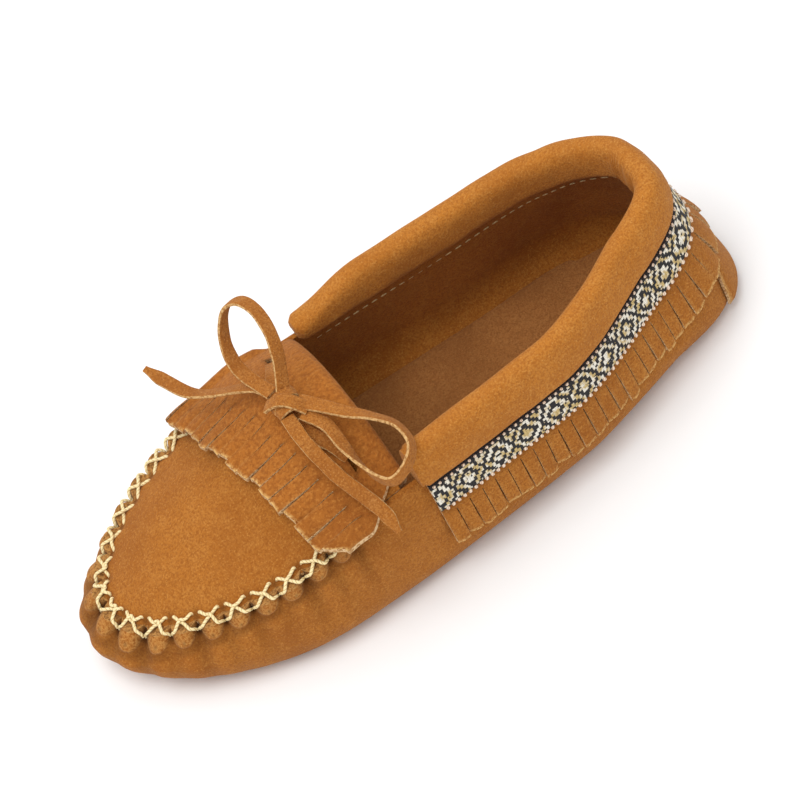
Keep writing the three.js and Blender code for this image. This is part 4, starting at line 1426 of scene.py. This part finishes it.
@dataclass
class SideTrim(Maker):
    """The cut fringe, and the woven braid sewn over its head."""

    pitch: float = 4.9
    fringe: float = 1.2
    per_strip: int = 5
    braid_width: float = 11.5
    braid: float = 0.9
    hang: float = 16
    cut_from: float = 15.6
    top: float = 0.8
    cut_gap: float = 0.16
    pattern_start: float = 200

    @property
    def strips(self) -> int:
        """Strips from end to end."""
        return round(2 * LINE.reach / self.pitch)

    def build_fringe(self) -> bpy.types.Object:
        """Rows from the head down; each strip leaves the wall, twists and curls by its own amounts.

        Returns:
            The piece.
        """
        count, rng = self.strips, np.random.default_rng(9)
        distance, strip, inside, is_cut = cut_columns(LINE.reach, count, self.per_strip, self.cut_gap)
        foot = self.top + self.braid_width + self.hang
        length = rng.uniform(-1.0, 0.6, count)[strip] + ripple(distance[:, None] * [1, 0, 0], 3.5, 1) * 0.2
        head = np.array([self.top, 4, 8, 12, self.cut_from])
        body = mix(self.cut_from, foot + length[None], np.linspace(0, 1, 20)[1:, None])
        drop = np.vstack([np.broadcast_to(head[:, None], (len(head), len(distance))), body])
        loose = smooth((drop - 13.3) / self.hang)
        heel = 1 - smooth(np.abs(distance) / 45)
        flare = mix(1.2, 2.3, heel) * smooth((drop - self.braid_width) / self.hang)
        twist = rng.uniform(-0.6, 0.6, count)[strip] * inside * loose * mix(0.8, 1.5, heel)
        curl = rng.uniform(-0.6, 0.5, count)[strip] * loose**2 * mix(0.7, 1.4, heel)
        stand = FORM.gap + np.maximum(flare + twist + curl, 0.1 * loose) + (1 - inside**2) * 0.25 * loose
        sway = np.broadcast_to(distance, drop.shape) + rng.uniform(-0.2, 0.2, count)[strip] * loose
        narrow = sway - inside * 0.12 * loose
        outer = LINE.point(narrow, drop, stand + self.fringe)
        inner = LINE.point(narrow, drop, stand)
        keep = np.ones((len(drop) - 1, len(distance) - 1), bool)
        keep[4:, is_cut] = False
        tip = smooth((drop - (foot + length) + 1.2) / 1.0)
        cut = (np.abs(inside) > 0.95) * smooth((drop - 15) / 6) * 0.4
        # Painted shade on the fringe's head, under the braid and just below it.
        shade = (1 - smooth((drop - 12.3) / 3.0)) * 0.55
        made = shell(outer, inner, keep, marks={"fold": shade, "fray": np.maximum(tip * 0.8, cut * 0.35)})
        return self.add(made, "side_fringe_cut", [TAN, CUT], Slot.SUEDE, ["side_fringe"])

    def build_braid(self) -> bpy.types.Object:
        """A ribbon arched by 0.35 mm, its pattern laid in mm along and across.

        Returns:
            The piece.
        """
        distance = np.linspace(-LINE.reach, LINE.reach, 700)[None, :]
        share = np.linspace(0, 1, 17)[:, None]
        arch = 0.35 * (1 - (2 * share - 1) ** 4)
        thin = mix(0.45, 1.0, smooth(np.minimum(share, 1 - share) * 12))
        drop = np.broadcast_to(self.top + share * self.braid_width, (17, 700))
        distance = np.broadcast_to(distance, drop.shape)
        wobble = ripple(np.stack([distance, 0 * drop, 0 * drop], -1), 22, 4) * 0.12
        stand = FORM.gap * 3 + self.fringe
        outer = LINE.point(distance, drop + wobble, stand + self.braid * thin + arch)
        inner = LINE.point(distance, drop + wobble, stand)
        uv = np.stack([distance + self.pattern_start, drop - self.top], -1)
        return self.add(shell(outer, inner, uv=uv), "braid_ribbon", [BRAID], Slot.BRAID, ["braid_trim"])

    @staticmethod
    def dashes(drop: float, out: float, reach: float, pitch: float, share: float, size: float) -> Surface:
        """Running stitches: short rods that rise by sin(pi t) out of the surface.

        Args:
            drop: distance down from the upper edge.
            out: distance out from the wall.
            reach: half the length of the row.
            pitch: from one stitch to the next.
            share: part of the pitch that shows.
            size: thickness of the thread.

        Returns:
            All the stitches of the row.
        """
        starts = np.arange(-reach, reach, pitch)
        t, turn = np.linspace(0, 1, 6)[None, :, None], (np.arange(6) / 6 * TAU)[None, None, :]
        distance = starts[:, None, None] + t * pitch * share
        round_off = np.sqrt(np.clip(1 - (2 * t - 1) ** 4, 0, 1))
        lift = out + (size / 2 * np.sin(turn) + 0.12) * round_off
        down = drop + size / 2 * np.cos(turn) * round_off
        points = LINE.point(*np.broadcast_arrays(distance, down, lift))
        quads = (tube_quads(6, 6) + np.arange(len(starts))[:, None, None] * 36).reshape(-1, 4)
        uv = np.stack(np.broadcast_arrays(distance + SideTrim.pattern_start, turn / TAU), -1).reshape(-1, 2)
        return Surface(points.reshape(-1, 3), quads, np.zeros(len(quads), bool), uv=uv).facing_out()

    def build_stitches(self) -> None:
        """Rows along both selvedges of the braid and under the collar inside."""
        stand = FORM.gap * 3 + self.fringe + self.braid + 0.2
        rows = (
            ("braid_stitch_upper", 1.5, stand, LINE.reach - 2, 2.2, 0.55, 0.8, Slot.BRAID_THREAD),
            ("braid_stitch_lower", 11.5, stand, LINE.reach - 2, 2.1, 0.64, 1.0, Slot.BRAID_THREAD),
            ("collar_stitch", 8.0, -FORM.hide - 0.15, LINE.reach - 4, 3.4, 0.66, 0.55, Slot.THREAD),
        )
        for name, drop, out, reach, pitch, share, size, slot in rows:
            made = self.dashes(drop, out, reach, pitch, share, size)
            self.add(made, name + "_row", [WAXED if slot is Slot.THREAD else FINE], slot, [name])


@dataclass
class HeelTab(Maker):
    """The patch over the back seam."""

    width: float = 26
    bottom: float = 4.6
    top: float = 24
    thick: float = 1.5

    def build(self) -> bpy.types.Object:
        """A patch whose width narrows by a quarter t^2 and whose edge is skived to half.

        Returns:
            The piece.
        """
        t, q = np.broadcast_arrays(np.linspace(0, 1, 40)[:, None], np.linspace(-1, 1, 60)[None, :])
        distance = q * self.width / 2 * (1 - 0.25 * t**2)
        z = mix(self.bottom, self.top, t) - 2.0 * smooth((np.abs(q) - 0.75) / 0.25) * t
        angle = LINE.angle(distance)
        ease = FORM.gap + 0.5 * (1 - smooth(np.abs(distance) / 22))
        near = np.minimum(np.minimum(1 - np.abs(q), 1 - t) * 8, 1)
        skin = FORM.wall(angle, z, ease + self.thick * mix(0.65, 1.0, smooth(near)))
        under = FORM.wall(angle, z, ease)
        fray = (1 - smooth(near * 1.8)) * 0.8
        made = shell(skin, under, marks={"fold": 0 * fray, "fray": fray})
        return self.add(made, "heel_patch", [TAN, CUT], Slot.SUEDE, ["heel_tab"])


@dataclass
class Insole(Maker):
    """Foam under a brown sock."""

    sock: float = 1.1
    foam: float = 3.0
    clearance: float = 1.2

    def rim(self, angle: Array) -> Array:
        """Plan of the insole's edge.

        Args:
            angle: angles round the plan.

        Returns:
            Places in plan.
        """
        x = -FORM.half * np.cos(angle)
        wall = np.where(x < FORM.at(FORM.heel_centre), 1, 0.2)
        room = FORM.sole_inset(x) + self.clearance + FORM.hide * wall
        return FORM.outline(angle) - FORM.outward(angle) * room[..., None]

    def layer(self, bottom: float, thick: float, wave: float) -> Surface:
        """A slab scaled in from its rim, its edge rounded by sqrt(1 - r^12).

        Args:
            bottom: height of its underside.
            thick: its thickness.
            wave: how far its top sinks and swells.

        Returns:
            The slab.
        """
        angle = np.linspace(0, TAU, 241)[None, :-1]
        share = np.linspace(0, 1, 40)[:, None] ** 0.8
        plan = self.rim(angle) * share[..., None]
        height = thick * mix(0.55, 1.0, np.sqrt(np.clip(1 - share**12, 0, 1))) * np.ones_like(angle)
        top = lifted(plan, bottom + height)
        top[..., 2] += (ripple(top, 40, 7) * wave - wave) * smooth(1.2 - share)
        zero = np.zeros(height.shape)
        return shell(top, lifted(plan, bottom + zero), wrap=True, marks={"fold": zero, "fray": zero})

    def build(self) -> None:
        """The foam, then the sock on it."""
        low = FORM.hide + FORM.gap
        self.add(self.layer(low, self.foam, 0.0), "insole_pad", [FOAM], Slot.FOAM, ["insole_foam"])
        sock = self.layer(low + self.foam + FORM.gap, self.sock, 0.1)
        self.add(sock, "insole_lining", [SOCK_BROWN, CUT], Slot.SOCK, ["insole_sock"])


@dataclass
class Bow(Maker):
    """The flat suede lace: a stretch under the flap, two on it, a knot, two loops and two tails."""

    width: float = 4.6
    thick: float = 1.2
    ahead: float = FORM.at(FORM.throat) - 13
    knot_across: float = 0.08
    into_knot: float = 0.36
    middle: tuple[float, float, float] = (26.8 + FORM.at(FORM.throat) - 13, 3.5, 66.4)

    def routes(self) -> dict[str, tuple[list, list, str]]:
        """Points in metres from the knot out, the ways the flat side looks, and the far end.

        Returns:
            Each cord's points, ways and far end, by the name of its node.
        """
        return {
            "lace_loop_right": (
                [(0.0246, -0.0026, 0.0696), (0.0226, -0.0036, 0.074), (0.021, -0.0054, 0.0785),
                 (0.0193, -0.010, 0.0835), (0.019, -0.0166, 0.087), (0.0209, -0.0223, 0.088),
                 (0.0246, -0.0252, 0.086), (0.0279, -0.0251, 0.081), (0.0308, -0.022, 0.075),
                 (0.0318, -0.0168, 0.0708), (0.0308, -0.011, 0.069), (0.0292, -0.005, 0.070)],
                [(0, 1, 0.1), (-0.3, 0.8, 0.3), (-0.5, 0.2, 0.9), (-0.2, -0.4, 1), (0.3, -0.9, 0.4),
                 (0.5, -0.8, -0.4), (0.2, -0.2, -1), (0, 0.1, -1)],
                "knot",
            ),
            "lace_loop_left": (
                [(0.0216, 0.006, 0.0679), (0.0186, 0.012, 0.0674), (0.0146, 0.017, 0.0662), (0.0094, 0.0226, 0.065),
                 (0.0049, 0.0294, 0.0636), (0.0047, 0.0366, 0.0619), (0.0089, 0.0415, 0.061), (0.015, 0.0426, 0.059),
                 (0.0182, 0.0384, 0.058), (0.0199, 0.0316, 0.059), (0.0208, 0.0243, 0.0622),
                 (0.0212, 0.0162, 0.0649), (0.0229, 0.0116, 0.066)],
                [(0, 0.2, 1), (-0.3, 0, 1), (-0.8, 0.1, 0.6), (-0.7, 0.7, 0.25), (0.2, 1, 0), (1, 0.3, -0.2),
                 (0.5, 0, -1), (0, -0.2, -1)],
                "knot",
            ),
            "lace_tail_right": (
                [(0.0274, -0.003, 0.0682), (0.0302, -0.0082, 0.067), (0.0349, -0.0142, 0.0642),
                 (0.0412, -0.0204, 0.0613), (0.0467, -0.0264, 0.0604), (0.0503, -0.0339, 0.0618),
                 (0.0533, -0.041, 0.064)],
                [(0, 0, 1), (0, -0.3, 1), (0.2, -0.75, 0.65), (0.2, -0.75, 0.65), (0, -0.2, 1), (0, 0.2, 1)],
                "bare",
            ),
            "lace_tail_left": (
                [(0.0304, 0.0092, 0.0668), (0.0294, 0.0155, 0.0646), (0.0284, 0.0225, 0.0609),
                 (0.0269, 0.0296, 0.0574), (0.0242, 0.037, 0.0532), (0.0222, 0.0432, 0.0496),
                 (0.0218, 0.0486, 0.0446)],
                [(0, 0.2, 1), (0, 0.3, 1), (0.2, 0.4, 0.9), (0.2, 0.6, 0.8), (0.2, 0.8, 0.6), (0.3, 0.9, 0.3)],
                "bare",
            ),
        }

    def lace(self, surface: Surface, name: str, node: str) -> bpy.types.Object:
        """A stretch of the lace, its cut sides paler."""
        return self.add(surface, name, [LACE_TAN, LACE_CUT], Slot.LACE, [node], crease=40)

    def thong(self, path: Array, face: Array, tapered: bool) -> Surface:
        """A strap whose width varies by a few hundredths and, on a tail, narrows towards its tip.

        Args:
            path: the centre line, mm.
            face: the way the flat side looks.
            tapered: whether it ends in a tip.

        Returns:
            The strap.
        """
        t = np.linspace(0, 1, len(path))
        vary = 1 + 0.035 * ripple(path, 9, 3)
        taper = 1 - 0.55 * smooth((t - 0.86) / 0.14) if tapered else 1.0
        width = self.width * vary * taper
        return strap(path, face, width, np.full(len(path), self.thick) * (1 + 0.06 * ripple(path, 5, 6)))

    def build(self) -> None:
        """The free loops and tails as cords, then the held stretches and the knot."""
        knot = self.build_knot()
        for name, (points, faces, far_end) in self.routes().items():
            hand = np.array(points) / MM + [self.ahead, 0, 0]
            hand[0] = mix(hand[0], np.array(self.middle), self.into_knot)
            if far_end == "knot":
                hand[-1] = mix(hand[-1], np.array(self.middle), self.into_knot)
            path = curve(hand, 90)
            face = curve(np.array(faces, float), 90)
            made = self.thong(path, face, far_end == "bare")
            piece = self.lace(made, name + "_thong", name)
            tuple(path[0] * MM)
            (path * MM).tolist()
        self.build_runs()

    def build_runs(self) -> None:
        """The stretches from each slit to the knot and the one under the flap."""
        flap = Flap()
        for side, name in ((1, "lace_run_left"), (-1, "lace_run_right")):
            runs, across = np.array([7.5, 10, 12.5, 14]), np.array([0.6, 0.42, 0.27, 0.15])
            spots = flap.surface(runs, side * across + self.knot_across * np.arange(4) / 3, flap.thick)
            spots[:, 2] += FORM.gap + self.thick + 0.3 * np.arange(4)
            spots[0, 2] -= 1.6
            path = curve(spots, 40)
            face = curve(np.array([(0, side * 0.5, 1), (0, 0, 1), (0, 0, 1)], float), 40)
            self.lace(self.thong(path, face, False), name + "_thong", name)
        across = np.array([-0.5, -0.25, 0, 0.25, 0.5])
        below = flap.surface(np.full(5, 7.5), across, 0.0)
        below[:, 2] = (below[:, 2] + FORM.instep_height(below)) / 2
        path = curve(below, 40)
        face = curve(np.array([(0, -0.4, 1), (0, 0, 1), (0, 0.4, 1)], float), 40)
        under = strap(path, face, np.full(40, self.width), np.full(40, 1.1))
        self.lace(under, "lace_run_under_thong", "lace_run_under")

    def build_knot(self) -> bpy.types.Object:
        """Two turns side by side round the middle and a slack one drawn over them.

        Returns:
            The piece.
        """
        centre = np.array(self.middle)
        parts = []
        for y, skew, wide, size in ((-2.4, 0.6, 4.0, 1.0), (2.0, -0.8, 4.4, 0.92)):
            turn = np.linspace(-0.5 * math.pi, 1.5 * math.pi, 70)[:, None]
            across = y + skew * np.cos(turn)
            ring = centre + np.hstack([4.1 * size * np.cos(turn), across, 2.9 * size * np.sin(turn)])
            parts.append(strap(ring, unit((ring - centre) * [1, 0, 1]), np.full(70, wide), np.full(70, 1.4)))
        slant = np.linspace(-1, 1, 60)[:, None]
        lift = 4.3 * np.cos(slant * 1.5) + 0.2
        loop = centre + np.hstack([0.6 - 4.6 * slant, 0.6 + 4.4 * slant, lift])
        over = unit(np.hstack([-slant, slant, 1.1 - np.abs(slant)]))
        parts.append(strap(loop, over, np.full(60, 4.5), np.full(60, 1.4)))
        return self.lace(gather(parts), "lace_knot_tied", "lace_knot")


@dataclass
class Studio:
    """Floor, soft lights and camera."""

    azimuth: float = 12
    elevation: float = 53
    roll: float = -25
    away: float = 1.1
    lens: float = 161.9
    shift: tuple[float, float] = (0.01125, 0.015)
    sky: float = 0.82
    look_at: tuple[float, float, float] = (0.0015, 0.0, 0.030)

    def axes(self) -> tuple[Vector, Vector, Vector]:
        """The camera's right, up and back.

        Returns:
            Three unit vectors.
        """
        a, e, r = (math.radians(v) for v in (self.azimuth, self.elevation, self.roll))
        back = Vector((math.sin(a) * math.cos(e), math.cos(a) * math.cos(e), math.sin(e)))
        right = Vector((-math.cos(a), math.sin(a), 0))
        up = back.cross(right)
        return (
            right * math.cos(r) + up * math.sin(r),
            up * math.cos(r) - right * math.sin(r),
            back,
        )

    def camera(self) -> None:
        """A long lens on the whole shoe."""
        right, up, back = self.axes()
        data = bpy.data.cameras.new("camera")
        data.lens, data.sensor_width = self.lens, 36
        data.shift_x, data.shift_y = self.shift
        data.clip_start, data.clip_end = 0.05, 20
        camera = bpy.data.objects.new("camera", data)
        turn = Matrix((right, up, back)).transposed().to_4x4()
        camera.matrix_world = Matrix.Translation(Vector(self.look_at) + back * self.away) @ turn
        bpy.context.scene.collection.objects.link(camera)
        bpy.context.scene.camera = camera

    def light(self, name: str, place: tuple[float, float, float], size: float, power: float) -> None:
        """A square soft light aimed at the shoe.

        Args:
            name: its name.
            place: where it stands, metres.
            size: its side, metres.
            power: watts.
        """
        data = bpy.data.lights.new(name, "AREA")
        data.energy, data.size = power, size
        lamp = bpy.data.objects.new(name, data)
        lamp.location = place
        lamp.rotation_mode = "QUATERNION"
        lamp.rotation_quaternion = (Vector(place) - Vector(self.look_at)).to_track_quat("Z", "Y")
        bpy.context.scene.collection.objects.link(lamp)

    def build(self) -> None:
        """Everything round the shoe."""
        self.camera()
        side = 4.0
        mesh = bpy.data.meshes.new("floor")
        around = ((-side, -side), (side, -side), (side, side), (-side, side))
        mesh.from_pydata([(x, y, -0.0002) for x, y in around], [], [(0, 1, 2, 3)])
        g = Graph("pale_floor")
        g.set(Base_Color=(0.9, 0.9, 0.9), Roughness=0.9, Specular_IOR_Level=0.1)
        mesh.materials.append(g.material)
        floor = bpy.data.objects.new("floor", mesh)
        bpy.context.scene.collection.objects.link(floor)
        world = bpy.data.worlds.new("studio")
        world.use_nodes = True
        sky = world.node_tree.nodes["Background"]
        sky.inputs["Color"].default_value = (1.0, 1.0, 1.0, 1.0)
        sky.inputs["Strength"].default_value = self.sky
        bpy.context.scene.world = world
        self.light("key", (0.35, 0.15, 1.15), 0.8, 7.8)
        self.light("fill", (-0.3, -0.7, 0.9), 1.2, 2.5)
        bpy.context.scene.view_settings.view_transform = "Standard"


def main() -> None:
    """Builds the shoe's sub-assemblies in order."""
    logging.basicConfig(level=logging.INFO, format="%(message)s")
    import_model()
    Studio().build()
    Bow().build()
    HideWrap().build()
    Apron().build()
    SeamThreads().build()
    Flap().build()
    Collar().build()
    trim = SideTrim()
    trim.build_fringe()
    trim.build_braid()
    trim.build_stitches()
    HeelTab().build()
    Insole().build()


if __name__ == "__main__":
    main()
